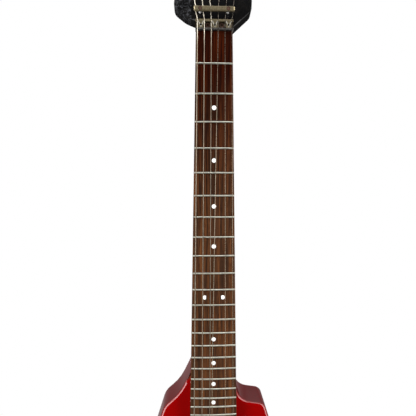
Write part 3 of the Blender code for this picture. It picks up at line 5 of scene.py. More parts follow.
import bmesh
import bpy
from mathutils import Euler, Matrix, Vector


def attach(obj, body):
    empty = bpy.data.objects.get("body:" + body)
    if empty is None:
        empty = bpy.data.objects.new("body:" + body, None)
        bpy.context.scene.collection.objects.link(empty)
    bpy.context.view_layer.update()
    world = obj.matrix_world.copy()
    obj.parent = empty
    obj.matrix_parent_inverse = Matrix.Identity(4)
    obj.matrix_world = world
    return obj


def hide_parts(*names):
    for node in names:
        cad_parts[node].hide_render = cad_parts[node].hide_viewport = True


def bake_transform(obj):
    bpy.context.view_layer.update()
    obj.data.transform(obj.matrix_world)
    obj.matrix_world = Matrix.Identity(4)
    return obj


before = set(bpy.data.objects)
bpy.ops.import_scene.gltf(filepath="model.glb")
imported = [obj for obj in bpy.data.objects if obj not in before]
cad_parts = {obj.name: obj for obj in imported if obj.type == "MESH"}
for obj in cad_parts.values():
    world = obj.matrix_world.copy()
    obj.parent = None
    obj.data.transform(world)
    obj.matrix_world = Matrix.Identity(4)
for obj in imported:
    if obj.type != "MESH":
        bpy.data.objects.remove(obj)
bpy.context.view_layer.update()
MM = 0.001


# The viewpoint
# The camera looks straight at the neck from less than half a metre away, level with the
# fifth fret, and the short lens takes in everything from the nut to the body's shoulders.
EYE = Vector((-22.8, -419.5, -169.0)) * MM
EYE_TILT = Euler([math.radians(turn) for turn in (85.153, -0.049, -2.146)])
LENS = 30.4

camera = bpy.data.objects.new("camera", bpy.data.cameras.new("camera"))
camera.data.sensor_width = 36
camera.data.lens = LENS
camera.data.clip_start = 0.01
camera.location = EYE
camera.rotation_euler = EYE_TILT
bpy.context.scene.collection.objects.link(camera)
bpy.context.scene.camera = camera
bpy.context.scene.view_settings.view_transform = "Standard"


# The studio
# A pale floor that fades out below the hanging guitar, a tall soft lamp on each side, one
# overhead and one behind. Faces turned to the camera mirror a dark room, the others a white one.
FLOOR_LEVEL = -1.02
FLOOR_REACH = 0.5
FLOOR_FADE = 0.2
FLOOR_COLOR = (0.82, 0.82, 0.81)
SURROUND_LIGHT = 0.4
DARK_SIDE = 0.03
DARK_TURN = 0.3
LAMPS = (
    ("lamp_left", (-1.4, -0.65, -0.1), (0, 0, -0.25), (0.9, 2.6), 52),
    ("lamp_right", (1.4, -0.65, -0.1), (0, 0, -0.25), (0.9, 2.6), 42),
    ("lamp_top", (0.0, -0.5, 1.3), (0, 0, -0.3), (2.4, 0.7), 24),
    ("lamp_back", (0.0, 1.5, 1.0), (0, 0, -0.4), (1.2, 1.2), 45),
)


class Wire:
    """One value in a node tree: arithmetic on it adds the Math nodes."""

    def __init__(self, graph, socket):
        self.graph = graph
        self.socket = socket

    def out(self, name):
        return Wire(self.graph, self.socket.node.outputs[name])

    def math(self, operation, *others):
        return self.graph.node("ShaderNodeMath", {"operation": operation}, dict(enumerate((self, *others))))

    def back(self, operation, other):
        return self.graph.node("ShaderNodeMath", {"operation": operation}, {0: other, 1: self})

    __add__ = __radd__ = partialmethod(math, "ADD")
    __sub__ = partialmethod(math, "SUBTRACT")
    __rsub__ = partialmethod(back, "SUBTRACT")
    __mul__ = __rmul__ = partialmethod(math, "MULTIPLY")
    __truediv__ = partialmethod(math, "DIVIDE")
    __pow__ = partialmethod(math, "POWER")
    __rpow__ = partialmethod(back, "POWER")
    __gt__ = partialmethod(math, "GREATER_THAN")
    __lt__ = partialmethod(math, "LESS_THAN")


class Graph:
    """A node tree: put() fills a socket, node() adds a node and gives its first output."""

    def __init__(self, tree):
        self.tree = tree

    def put(self, socket, value):
        if isinstance(value, Wire):
            self.tree.links.new(value.socket, socket)
        elif socket.type == "RGBA" and len(value) == 3:
            socket.default_value = (*value, 1)
        else:
            socket.default_value = value

    def node(self, kind, settings=None, sockets=None, out=0):
        made = self.tree.nodes.new(kind)
        for key, value in (settings or {}).items():
            setattr(made, key, value)
        for key, value in (sockets or {}).items():
            self.put(made.inputs[key], value)
        return Wire(self, made.outputs[out])


class Finish(Graph):
    """A material being mixed, on the object's own coordinates."""

    def __init__(self, name, **constants):
        self.material = bpy.data.materials.new(name)
        self.material.use_nodes = True
        super().__init__(self.material.node_tree)
        self.shader = self.tree.nodes["Principled BSDF"]
        self.shade(**constants)

    def shade(self, **sockets):
        for label, value in sockets.items():
            self.put(self.shader.inputs[label.replace("_", " ")], value)

    def axis(self, name):
        """One object coordinate in metres."""
        where = self.node("ShaderNodeTexCoord", out="Object")
        return self.node("ShaderNodeSeparateXYZ", {}, {0: where}, out=name)

    def noise(self, scale, detail, rough, warp=0.0, stretch=(1, 1, 1)):
        """Clouds about 1 / scale metres wide, drawn out where the stretch is under 1."""
        where = self.node("ShaderNodeTexCoord", out="Object")
        where = self.node("ShaderNodeMapping", {}, {"Vector": where, "Scale": stretch})
        looks = {"Scale": scale, "Detail": detail, "Roughness": rough, "Distortion": warp}
        return self.node("ShaderNodeTexNoise", {}, {"Vector": where, **looks})

    def range(self, value, low, high, new_low=0.0, new_high=1.0):
        """The value taken from its old range to a new one, and held within that."""
        sockets = {0: value, 1: low, 2: high, 3: new_low, 4: new_high}
        return self.node("ShaderNodeMapRange", {}, sockets)

    def mix(self, share, one, other):
        return self.node("ShaderNodeMix", {"data_type": "RGBA"}, {0: share, 6: one, 7: other}, out=2)

    def glancing(self, start, end):
        """0 on faces seen straight on, 1 on those seen at a glance."""
        facing = self.node("ShaderNodeLayerWeight", {}, {"Blend": 0.5}, out="Facing")
        return self.range(facing, start, end)

    def bump(self, height, strength, distance):
        sockets = {"Height": height, "Strength": strength, "Distance": distance}
        return self.node("ShaderNodeBump", {}, sockets)


floor_mesh = bpy.data.meshes.new("floor")
corners = [(x * FLOOR_REACH, y * FLOOR_REACH, 0) for x, y in ((-1, -1), (1, -1), (1, 1), (-1, 1))]
floor_mesh.from_pydata(corners, [], [(0, 1, 2, 3)])
floor = bpy.data.objects.new("floor", floor_mesh)
floor.location.z = FLOOR_LEVEL
bpy.context.scene.collection.objects.link(floor)
paint = Finish("floor_paint", Base_Color=FLOOR_COLOR, Roughness=0.9)
spot = paint.node("ShaderNodeTexCoord", out="Object")
far = paint.node("ShaderNodeVectorMath", {"operation": "LENGTH"}, {0: spot}, out="Value")
paint.shade(Alpha=paint.range(far, FLOOR_FADE, FLOOR_REACH, 1, 0))
floor_mesh.materials.append(paint.material)

for lamp_name, place, target, size, power in LAMPS:
    lamp = bpy.data.objects.new(lamp_name, bpy.data.lights.new(lamp_name, "AREA"))
    lamp.data.shape = "RECTANGLE"
    lamp.data.size, lamp.data.size_y = size
    lamp.data.energy = power
    lamp.location = place
    lamp.rotation_euler = (Vector(target) - Vector(place)).to_track_quat("-Z", "Y").to_euler()
    bpy.context.scene.collection.objects.link(lamp)

world = bpy.data.worlds.new("surround")
bpy.context.scene.world = world
world.use_nodes = True
surround = Graph(world.node_tree)
camera_ray = surround.node("ShaderNodeLightPath", out="Is Camera Ray")
direct = camera_ray.math("MAXIMUM", camera_ray.out("Is Transmission Ray"))
glossy = camera_ray.out("Is Glossy Ray")
heading = surround.node("ShaderNodeTexCoord", out="Generated")
behind = surround.node("ShaderNodeSeparateXYZ", {}, {0: heading}, out="Y")
mirrored = surround.node(
    "ShaderNodeMapRange", {}, {0: behind, 1: -DARK_TURN, 2: DARK_TURN, 3: DARK_SIDE, 4: 1},
)
unseen = glossy * mirrored + (1 - glossy) * SURROUND_LIGHT
backdrop = world.node_tree.nodes["Background"]
surround.put(backdrop.inputs["Color"], (1, 1, 1))
surround.put(backdrop.inputs["Strength"], direct + (1 - direct) * unseen)


# The body
# A slab of solid mahogany, sawn to a V with rounded shoulders and sprayed red under a thick
# clear lacquer. The routs for pickups, tremolo and wiring are cut before it is painted.
LACQUER_RED = (0.222, 0.0, 0.0)
LACQUER_DEEP = (0.205, 0.0, 0.0)
LACQUER_SIDE_SHADE = (0.05, 0.0, 0.0)
SHARP = 35


def add_piece(name, mesh, finish=None):
    """An object at the origin for a finished mesh."""
    made = bpy.data.objects.new(name, mesh)
    bpy.context.scene.collection.objects.link(made)
    if finish:
        mesh.materials.clear()
        mesh.materials.append(finish.material)
    return made


def settle(made, body, slot, *nodes):
    """The piece rides on its body and stands for these nodes of the frame; its slot is not used."""
    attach(made, body)
    if nodes:
        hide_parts(*nodes)


def finished_mesh(made):
    """The piece's mesh as its modifiers leave it."""
    evaluated = made.evaluated_get(bpy.context.evaluated_depsgraph_get())
    return bpy.data.meshes.new_from_object(evaluated)


def settle_modifiers(made):
    mesh = finished_mesh(made)
    made.modifiers.clear()
    made.data = mesh


def dressed(name, node, finish, body, slot, rim=0.0, sharp=SHARP, steps=2):
    """A node of the frame made finer: its rims eased over and its round faces shaded smooth."""
    bm = bmesh.new()
    bm.from_mesh(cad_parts[node].data)
    bmesh.ops.remove_doubles(bm, verts=bm.verts, dist=0.002 * MM)
    bmesh.ops.dissolve_limit(bm, angle_limit=math.radians(0.6), verts=bm.verts, edges=bm.edges)
    mesh = bpy.data.meshes.new(name)
    bm.to_mesh(mesh)
    bm.free()
    made = add_piece(name, mesh, finish)
    if rim:
        bevel = made.modifiers.new("rim", "BEVEL")
        bevel.width = rim
        bevel.segments = steps
        bevel.limit_method = "ANGLE"
        bevel.angle_limit = math.radians(sharp)
        bevel.use_clamp_overlap = True
        settle_modifiers(made)
    for face in made.data.polygons:
        face.use_smooth = True
    made.data.set_sharp_from_angle(angle=math.radians(sharp))
    made.modifiers.new("flat_faces", "WEIGHTED_NORMAL").keep_sharp = True
    settle_modifiers(made)
    settle(made, body, slot, node)


lacquer = Finish("red_lacquer", Specular_IOR_Level=0, Coat_Roughness=0.04, Coat_IOR=1.55)
depth = lacquer.noise(9, 2, 0.5)
haze = lacquer.noise(60, 4, 0.65)
scuffs = lacquer.noise(900, 2, 0.6, stretch=(1, 1, 0.12))
peel = lacquer.noise(700, 1, 0.4)
facing = lacquer.node("ShaderNodeTexCoord", out="Normal")
facing = lacquer.node("ShaderNodeSeparateXYZ", {}, {0: facing}, out="Y")
# Faces turned away from the front are mixed towards a darker red: painted shade on the side walls.
sides = lacquer.range(facing.math("ABSOLUTE"), 0.75, 0.2)
red = lacquer.mix(lacquer.range(depth, 0.35, 0.7), LACQUER_RED, LACQUER_DEEP)
lacquer.shade(
    Base_Color=lacquer.mix(sides, red, LACQUER_SIDE_SHADE),
    Coat_Weight=1 - 0.75 * lacquer.glancing(0.25, 0.55),
    Roughness=0.16 + 0.1 * haze + 0.08 * (scuffs > 0.68),
    Normal=lacquer.bump(peel, 0.08, 0.02 * MM),
)
dressed("body_slab", "body", lacquer, "guitar", "red_gloss", sharp=38)


# The neck
# Quarter-sawn maple glued into the body, with a headstock tilted back and sprayed black.
# The black fades into the varnished wood behind the nut and is crazed along the bass edge, where pale
# specks are painted glints on the crazing.
HEAD_TILT = math.radians(13)
FADE_TOP = 4 * MM
FADE_LOW = -16 * MM
CRAZED_FROM = -20 * MM
CRAZED_TO = -27 * MM
MAPLE = (0.5, 0.29, 0.13)
MAPLE_LINE = (0.36, 0.18, 0.07)
HEAD_BLACK = (0.0032, 0.0032, 0.0034)
HEAD_PAINTED_GLINT = (0.05, 0.051, 0.056)
HEAD_WORN = (0.008, 0.007, 0.006)

varnish = Finish("neck_and_head", Specular_IOR_Level=0, Coat_Roughness=0.08)
grain = varnish.noise(55, 5, 0.6, 0.8, stretch=(1, 1, 0.035))
rays_cut = varnish.noise(420, 2, 0.5, stretch=(1, 0.4, 0.08))
maple = varnish.mix(varnish.range(grain, 0.42, 0.66), MAPLE, MAPLE_LINE)
maple = varnish.mix(0.18 * (rays_cut > 0.62), maple, MAPLE_LINE)
cloud = varnish.noise(70, 4, 0.7)
black = varnish.mix(varnish.range(cloud, 0.45, 0.75), HEAD_BLACK, HEAD_WORN)
painted = varnish.range(varnish.axis("Z"), FADE_LOW, FADE_TOP)
dust = varnish.noise(1500, 2, 0.7)
crazed = varnish.range(varnish.axis("X"), CRAZED_FROM, CRAZED_TO) * painted
crinkle_and_glints = varnish.noise(330, 4, 0.6, 0.8) * crazed
# The pale specks on the crazed bass edge are painted glints, not a colour of the paint.
black = varnish.mix(varnish.range(crinkle_and_glints, 0.48, 0.68), black, HEAD_PAINTED_GLINT)
varnish.shade(
    Base_Color=varnish.mix(painted, maple, black),
    Coat_Weight=0.3 - 0.28 * varnish.glancing(0.2, 0.5),
    Roughness=0.28 - 0.1 * painted + 0.1 * cloud + 0.12 * (dust > 0.66),
    Normal=varnish.bump(0.05 * grain + crinkle_and_glints, 0.9, 2.2 * MM),
)
dressed("neck_and_headstock", "neck", varnish, "guitar", "neck_wood", sharp=32)


# The fretboard
# A board of rosewood, cambered across and glued to the neck. It is oiled, not lacquered, so
# its pores show, and years of fingers have greyed it towards the body.
STRING_LENGTH = 648 * MM
FRETS = 22
NUT_BOARD = 42.5 * MM
OCTAVE_BOARD = 53.6 * MM
BOARD_CAMBER = 400 * MM
BOARD_DEPTH = 6 * MM
BOARD_PAST_LAST_FRET = 8 * MM
BOARD_RIM = 0.4 * MM
BOARD_STEPS = 12
SEAT = 0.3 * MM
PLAYED_FROM = -20 * MM
PLAYED_TO = -200 * MM


def fret_line(number):
    """Distance of a fret from the nut."""
    return STRING_LENGTH * (1 - 2 ** (-number / 12))


def board_half(down):
    return (NUT_BOARD + (OCTAVE_BOARD - NUT_BOARD) * down / (STRING_LENGTH / 2)) / 2


def board_height(across, down):
    """Height of the cambered top, which is 0 along the board's two edges."""
    half = board_half(down)
    return math.sqrt(BOARD_CAMBER**2 - min(abs(across), half) ** 2) - math.sqrt(BOARD_CAMBER**2 - half**2)


def on_front(across, down, out):
    """A point of the guitar's front: across to the treble side, down from the nut, out to the player."""
    return Vector((across, -out, -down))


def skin(name, rings, finish, sharp=SHARP):
    """A solid through rings of points, capped at both ends."""
    bm = bmesh.new()
    rows = [[bm.verts.new(point) for point in ring] for ring in rings]
    count = len(rings[0])
    for near, far in zip(rows, rows[1:]):
        for k in range(count):
            n = (k + 1) % count
            bm.faces.new((near[k], near[n], far[n], far[k]))
    bm.faces.new(rows[0][::-1])
    bm.faces.new(rows[-1])
    bmesh.ops.recalc_face_normals(bm, faces=bm.faces)
    mesh = bpy.data.meshes.new(name)
    bm.to_mesh(mesh)
    bm.free()
    for face in mesh.polygons:
        face.use_smooth = True
    mesh.set_sharp_from_angle(angle=math.radians(sharp))
    return add_piece(name, mesh, finish)


NUT_END_RED = (0.053, 0.0075, 0.0005)
NUT_END_DARK = (0.008, 0.001, 0.0002)
WORN_BROWN = (0.135, 0.048, 0.016)
WORN_DARK = (0.029, 0.014, 0.008)
BOARD_END = fret_line(FRETS) + BOARD_PAST_LAST_FRET

rosewood = Finish("rosewood", Specular_IOR_Level=0.03)
streaks = rosewood.noise(520, 5, 0.7, 0.3, stretch=(1, 0.6, 0.025))
bands = rosewood.noise(120, 4, 0.55, 1.2, stretch=(1, 1, 0.03))
pores = rosewood.noise(1500, 2, 0.5, stretch=(1, 1, 0.06))
uneven = rosewood.axis("Z") + 50 * MM * rosewood.noise(14, 3, 0.6)
played = rosewood.range(uneven, PLAYED_FROM, PLAYED_TO)
light = rosewood.mix(played, NUT_END_RED, WORN_BROWN)
dark = rosewood.mix(played, NUT_END_DARK, WORN_DARK)
pale = rosewood.range(streaks, 0.42, 0.6) * rosewood.range(bands, 0.66, 0.36, 0.25, 1)
wood = rosewood.mix(pale, dark, light)
pitted = pores > 0.63
rosewood.shade(
    Base_Color=rosewood.mix(0.6 * pitted, wood, NUT_END_DARK),
    Roughness=0.5 + 0.15 * pitted - 0.08 * played,
    Normal=rosewood.bump(streaks - 0.6 * pitted, 0.25, 0.08 * MM),
)
rings = []
for down in (SEAT, BOARD_END):
    half = board_half(down)
    flat = half - BOARD_RIM
    spread = [flat * k / BOARD_STEPS for k in range(-BOARD_STEPS, BOARD_STEPS + 1)]
    top = [on_front(across, down, board_height(across, down)) for across in spread]
    sides = ((half, -BOARD_RIM), (half, -BOARD_DEPTH), (-half, -BOARD_DEPTH), (-half, -BOARD_RIM))
    rings.append(top + [on_front(across, down, out) for across, out in sides])
board = skin("rosewood_board", rings, rosewood)
settle(board, "guitar", "rosewood", "fretboard")


# The frets
# Twenty-two lengths of nickel-silver wire, pressed into slots right across the board, their
# ends filed to a slope. Their spacing shrinks by a twelfth root of two.
FRET_INSET = 0.4 * MM
FRET_WIRE = 1.8 * MM
FRET_CROWN = 1.1 * MM
FRET_SIDES = 14
FRET_STEPS = 10
NICKEL_SILVER = (0.74, 0.76, 0.66)
NICKEL_DULL = (0.42, 0.41, 0.36)


class Maker(Graph):
    """A Geometry Nodes tree with named sizes; make() runs it on points and keeps a plain piece."""

    KINDS = {float: "NodeSocketFloat", int: "NodeSocketInt", tuple: "NodeSocketVector"}

    def __init__(self, name, **sizes):
        super().__init__(bpy.data.node_groups.new(name, "GeometryNodeTree"))
        self.sizes = sizes
        ports = self.tree.interface
        ports.new_socket("Points", in_out="INPUT", socket_type="NodeSocketGeometry")
        ports.new_socket("Finish", in_out="INPUT", socket_type="NodeSocketMaterial")
        for label, value in sizes.items():
            ports.new_socket(label, in_out="INPUT", socket_type=self.KINDS[type(value)])
        ports.new_socket("Mesh", in_out="OUTPUT", socket_type="NodeSocketGeometry")
        self.entry = self.tree.nodes.new("NodeGroupInput")

    def __getitem__(self, label):
        return Wire(self, self.entry.outputs[label])

    def drum(self, sides, radius, depth, steps=1):
        sizes = {"Vertices": sides, "Side Segments": steps, "Radius": radius, "Depth": depth}
        return self.node("GeometryNodeMeshCylinder", {}, sizes)

    def cone(self, sides, top, bottom, depth):
        sizes = {"Vertices": sides, "Radius Top": top, "Radius Bottom": bottom, "Depth": depth}
        return self.node("GeometryNodeMeshCone", {}, sizes)

    def lifted(self, shape, level):
        upward = self.node("ShaderNodeCombineXYZ", {}, {2: level})
        return self.node("GeometryNodeTransform", {}, {"Geometry": shape, "Translation": upward})

    def joined(self, one, other):
        both = self.node("GeometryNodeMeshBoolean", {"operation": "UNION"}, {"Mesh 2": one})
        self.tree.links.new(other.socket, both.socket.node.inputs["Mesh 2"])
        return both

    def scatter(self, shape, turn=(0, 0, 0)):
        """Ends the tree in a copy of the shape on each of its points."""
        placed = {"Points": self["Points"], "Instance": shape, "Rotation": turn}
        self.close(self.node("GeometryNodeInstanceOnPoints", {}, placed))

    def close(self, shape):
        """Ends the tree in plain geometry with its material."""
        plain = self.node("GeometryNodeRealizeInstances", {}, {"Geometry": shape})
        painted = self.node("GeometryNodeSetMaterial", {}, {"Geometry": plain, "Material": self["Finish"]})
        self.tree.links.new(painted.socket, self.tree.nodes.new("NodeGroupOutput").inputs[0])

    def make(self, name, points, finish, body, slot, **sizes):
        seed = bpy.data.meshes.new(name + "_points")
        seed.from_pydata([tuple(point) for point in points], [], [])
        holder = add_piece(name + "_points", seed)
        modifier = holder.modifiers.new("make", "NODES")
        modifier.node_group = self.tree
        values = {**self.sizes, **sizes, "Finish": finish.material}
        for item in self.tree.interface.items_tree:
            if item.in_out == "INPUT" and item.name in values:
                modifier[item.identifier] = values[item.name]
        holder.update_tag()
        bpy.context.view_layer.update()
        mesh = finished_mesh(holder)
        bpy.data.objects.remove(holder)
        mesh.name = name
        for face in mesh.polygons:
            face.use_smooth = True
        mesh.set_sharp_from_angle(angle=math.radians(SHARP))
        settle(add_piece(name, mesh), body, slot)


nickel = Finish("nickel_silver", Metallic=1.0)
tarnish = nickel.noise(220, 4, 0.7)
nickel.shade(
    Base_Color=nickel.mix(nickel.range(tarnish, 0.4, 0.75), NICKEL_SILVER, NICKEL_DULL),
    Roughness=0.26 + 0.16 * tarnish,
)
wires = Maker(
    "fret_wires", Frets=FRETS, Length=STRING_LENGTH, Nut=NUT_BOARD, Octave=OCTAVE_BOARD,
    Camber=BOARD_CAMBER, Inset=FRET_INSET, Wire=FRET_WIRE, Crown=FRET_CROWN,
)
row = wires.node("GeometryNodeMeshLine", {}, {"Count": wires["Frets"], "Offset": (0, 0, 0)})
number = wires.node("GeometryNodeInputIndex") + 1
down = wires["Length"] * (1 - 2 ** (number / -12))
taper = (wires["Octave"] - wires["Nut"]) / wires["Length"]
reach = wires["Nut"] / 2 + taper * down - wires["Inset"]
line = wires.node("ShaderNodeCombineXYZ", {}, {2: down * -1})
row = wires.node("GeometryNodeSetPosition", {}, {"Geometry": row, "Position": line})
rod = wires.drum(FRET_SIDES, 1, 2, FRET_STEPS)
crown = wires.node("ShaderNodeCombineXYZ", {}, {0: wires["Wire"] / 2, 1: wires["Crown"], 2: 1})
rod = wires.node(
    "GeometryNodeTransform", {},
    {"Geometry": rod, "Rotation": (0, math.pi / 2, 0), "Scale": crown},
)
spread = wires.node("ShaderNodeCombineXYZ", {}, {0: reach, 1: 1, 2: 1})
row = wires.node(
    "GeometryNodeInstanceOnPoints", {}, {"Points": row, "Instance": rod, "Scale": spread},
)
row = wires.node("GeometryNodeRealizeInstances", {}, {"Geometry": row})
spot = wires.node("ShaderNodeSeparateXYZ", {}, {0: wires.node("GeometryNodeInputPosition")})
edge = wires["Nut"] / 2 - taper * spot.out("Z")
square = wires["Camber"] * wires["Camber"]
rise = (square - spot.out("X") ** 2) ** 0.5 - (square - edge**2) ** 0.5
lift = wires.node("ShaderNodeCombineXYZ", {}, {1: rise * -1})
wires.close(wires.node("GeometryNodeSetPosition", {}, {"Geometry": row, "Offset": lift}))
wires.make("frets", [(0, 0, 0)], nickel, "guitar", "aged_nickel")


# The position dots
# White plastic discs glued into drilled holes and sanded level with the board, one each at
# the odd frets and a pair at the twelfth, with small ones along the board's bass edge.
SINGLE_DOTS = (3, 5, 7, 9, 15, 17, 19, 21)
DOT_SIDES = 28
DOT_RADIUS = 2.6 * MM
DOT_DEPTH = 1.0 * MM
DOT_PROUD = 0.06 * MM
PAIR_SPREAD = 11.0 * MM
SIDE_DOT_RADIUS = 0.95 * MM
SIDE_DOT_DEPTH = 0.8 * MM
SIDE_DOT_INSET = 0.36 * MM
SIDE_DOT_LEVEL = -2.6 * MM
SIDE_PAIR_SPREAD = 2.4 * MM
DOT_WHITE = (0.93, 0.93, 0.92)
DOT_AGED = (0.72, 0.62, 0.42)


def between_frets(number):
    return (fret_line(number - 1) + fret_line(number)) / 2


plugs = Maker("round_plugs", Radius=DOT_RADIUS, Depth=DOT_DEPTH, Turn=(math.pi / 2, 0.0, 0.0))
disc = plugs.drum(DOT_SIDES, plugs["Radius"], plugs["Depth"])
plugs.scatter(plugs.node("GeometryNodeTransform", {}, {"Geometry": disc, "Rotation": plugs["Turn"]}))
marks = [(0, between_frets(number)) for number in SINGLE_DOTS]
marks += [(side * PAIR_SPREAD, between_frets(12)) for side in (-1, 1)]
white_plug = Finish("white_dots", Roughness=0.3, Coat_Weight=0.3)
rub = white_plug.noise(800, 3, 0.6)
white_plug.shade(Base_Color=white_plug.mix(0.2 * rub, DOT_WHITE, DOT_AGED), Roughness=0.22 + 0.2 * rub)
places = [on_front(x, u, board_height(x, u) + DOT_PROUD - DOT_DEPTH / 2) for x, u in marks]
plugs.make("position_dots", places, white_plug, "guitar", "cream_plastic")
places = []
for number in (*SINGLE_DOTS, 12):
    u = between_frets(number)
    rows = (u - SIDE_PAIR_SPREAD, u + SIDE_PAIR_SPREAD) if number == 12 else (u,)
    places += [on_front(SIDE_DOT_INSET - board_half(row), row, SIDE_DOT_LEVEL) for row in rows]
plugs.make(
    "side_dots", places, white_plug, "guitar", "cream_plastic",
    Radius=SIDE_DOT_RADIUS, Depth=SIDE_DOT_DEPTH, Turn=(0.0, math.pi / 2, 0.0),
)


# The locking nut
# A cast block screwed down through the neck where the board ends. Its clamp pads are taken
# off, so the two screws, the three threaded holes and the notched ridges lie open.
AGED_NICKEL = (0.35, 0.295, 0.18)
AGED_STAIN = (0.10, 0.075, 0.045)
RUST_BROWN = (0.10, 0.035, 0.016)
RUST_DARK = (0.03, 0.012, 0.007)
NUT_FLOOR_DARK = (0.022, 0.014, 0.008)
PAD_PAINTED_HIGHLIGHT = (0.86, 0.83, 0.74)
NUT_LIP_GREY = (0.14, 0.13, 0.12)
SCREW_SIDES = 28
SCREW_TOP = 0.82
SCREW_RIM = 0.6
NUT_DEEP = 12 * MM
NUT_SCREWS = (-7.4 * MM, 8.6 * MM)
NUT_PADS = (-15.4 * MM, 0.6 * MM, 16.4 * MM)
NUT_FLOOR = 0.2 * MM
NUT_LIP = 2.8 * MM
NUT_MARGIN = 1 * MM
PAD_TIP = 3.4 * MM
PAD_TOP = 10.2 * MM
PAD_SLOPE = 0.5

worn = Finish("aged_nickel", Metallic=1.0)
patina = worn.noise(520, 5, 0.75, 0.4)
pits = worn.noise(1900, 3, 0.6)
in_nut = (worn.axis("Z") > -NUT_MARGIN) * (worn.axis("Z") < NUT_DEEP + NUT_MARGIN)
# Faces of the nut less than 1.8 mm out from the board's edge level are darkened, fully so below 0.5 mm.
hollows = worn.range(worn.axis("Y"), -1.8 * MM, -0.5 * MM) * in_nut
plating = worn.mix(worn.range(patina, 0.42, 0.68), AGED_NICKEL, AGED_STAIN)
plating = worn.mix(0.85 * hollows, plating, NUT_FLOOR_DARK)
# A darker grey band runs along the nut's lip nearest the board.
plating = worn.mix(worn.range(worn.axis("Z"), NUT_LIP, NUT_LIP - 0.6 * MM), plating, NUT_LIP_GREY)
# Bright V-shaped rims round the three threaded pads are painted highlights.
for pad in NUT_PADS:
    from_pad = worn.axis("X") - pad
    inside = PAD_SLOPE * (worn.axis("Z") - PAD_TIP) - from_pad.math("ABSOLUTE")
    rim = worn.range(inside, -0.3 * MM, 0) * worn.range(inside, 1.1 * MM, 0.8 * MM)
    rim = rim * (worn.axis("Z") < PAD_TOP)
    plating = worn.mix(0.9 * rim, plating, PAD_PAINTED_HIGHLIGHT)
worn.shade(
    Base_Color=plating,
    Roughness=0.3 + 0.3 * patina + 0.15 * (pits > 0.6),
    Metallic=1 - 0.35 * worn.range(patina, 0.5, 0.8),
    Normal=worn.bump(pits, 0.3, 0.05 * MM),
)
rust = Finish("rusted_steel")
crust = rust.noise(1100, 5, 0.75)
rust.shade(
    Base_Color=rust.mix(rust.range(crust, 0.35, 0.65), RUST_BROWN, RUST_DARK),
    Roughness=0.6 + 0.25 * crust,
    Metallic=rust.range(crust, 0.62, 0.4, 0.0, 0.3),
    Normal=rust.bump(crust, 0.6, 0.12 * MM),
)


def screw_maker(name, drive):
    """A tree for screw heads on points: a domed disc with a slotted, crossed or hex recess."""
    tree = Maker(name, Radius=2.2 * MM, Height=1.5 * MM, Facing=(0.0, -1.0, 0.0))
    wide, tall = tree["Radius"], tree["Height"]
    rim = tree.drum(SCREW_SIDES, wide, tall * SCREW_RIM)
    dome = tree.cone(SCREW_SIDES, wide * SCREW_TOP, wide, tall * (1 - SCREW_RIM))
    head = tree.joined(tree.lifted(rim, tall * SCREW_RIM / 2), tree.lifted(dome, tall * SCREW_RIM))
    if drive == "hex":
        bits = [tree.drum(6, wide * 0.56, tall * 1.2)]
    else:
        width, length = wide * 0.26, wide * (1.2 if drive == "cross" else 2.4)
        sizes = [(length, width), (width, length)][: 2 if drive == "cross" else 1]
        sizes = [tree.node("ShaderNodeCombineXYZ", {}, {0: a, 1: b, 2: tall}) for a, b in sizes]
        bits = [tree.node("GeometryNodeMeshCube", {}, {"Size": size}) for size in sizes]
    for bit in bits:
        cut = {"Mesh 1": head, "Mesh 2": tree.lifted(bit, tall)}
        head = tree.node("GeometryNodeMeshBoolean", {"operation": "DIFFERENCE"}, cut)
    facing = {"Vector": tree["Facing"]}
    tree.scatter(head, tree.node("FunctionNodeAlignRotationToVector", {"axis": "Z"}, facing))
    return tree


hex_screws = screw_maker("hex_screws", "hex")
cross_screws = screw_maker("cross_screws", "cross")
slot_screws = screw_maker("slot_screws", "slot")
dressed("locking_nut", "nut_base", worn, "guitar", "aged_nickel", rim=0.12 * MM, sharp=28)
places = [on_front(x, -NUT_DEEP / 2, NUT_FLOOR - 1.6 * MM) for x in NUT_SCREWS]
hex_screws.make("nut_screws", places, rust, "guitar", "aged_nickel", Radius=2.66 * MM, Height=1.75 * MM)


# The string retainer
# A bar of the same plated metal behind the nut, screwed to the headstock, which presses the
# strings down so that they sit in the nut before it is locked.
BAR_MIDDLE = -24.9 * MM
BAR_SCREWS = 16.2 * MM
BAR_TOP = 0.8 * MM
dressed(
    "retainer_bar", "string_retainer", worn, "guitar", "aged_nickel", rim=0.2 * MM, sharp=25, steps=3,
)
places = [on_front(side * BAR_SCREWS, BAR_MIDDLE, BAR_TOP - 1.55 * MM) for side in (-1, 1)]
# The shanks under the bar are given the white dot plastic so that they show as bright spots: a painted
# glare on steel.
shanks = [on_front(side * BAR_SCREWS, BAR_MIDDLE, BAR_TOP - 7.6 * MM) for side in (-1, 1)]
plugs.make("retainer_shanks_painted_glare", shanks, white_plug, "guitar", "aged_nickel", Radius=1.5 * MM, Depth=6 * MM)
cross_screws.make("retainer_screws", places, rust, "guitar", "aged_nickel")


# The tuners
# Six sealed machine heads along the headstock's edges. A worm in each cast housing turns the
# post that the string winds on; a threaded bushing in front and a small screw behind hold it.
HEAD_START = -14 * MM
HEAD_FACE = -8.3 * MM
HEAD_THICK = 14.5 * MM
HEAD_EDGE = ((46 * MM, 34 * MM), (31 * MM, 160 * MM))
TUNER_ROWS = (54 * MM, 94 * MM, 134 * MM)
TUNER_INSET = 13 * MM
HOUSING_DEEP = 11 * MM
WORM_ABOVE = 5.6 * MM
POST = 3 * MM
POST_TAIL = 7.6 * MM
DRUM = 2.4 * MM
DRUM_LOW = 4.6 * MM
DRUM_HIGH = 9.4 * MM
POST_TOP = 12.6 * MM
BUTTON_WIDE = 9 * MM
BUTTON_FLAT = 0.45
BUTTON_START = 16 * MM
BUTTON_LONG = 15 * MM
WORM_SHAFT = 2.2 * MM
CHROME_BRIGHT = (0.52, 0.52, 0.53)
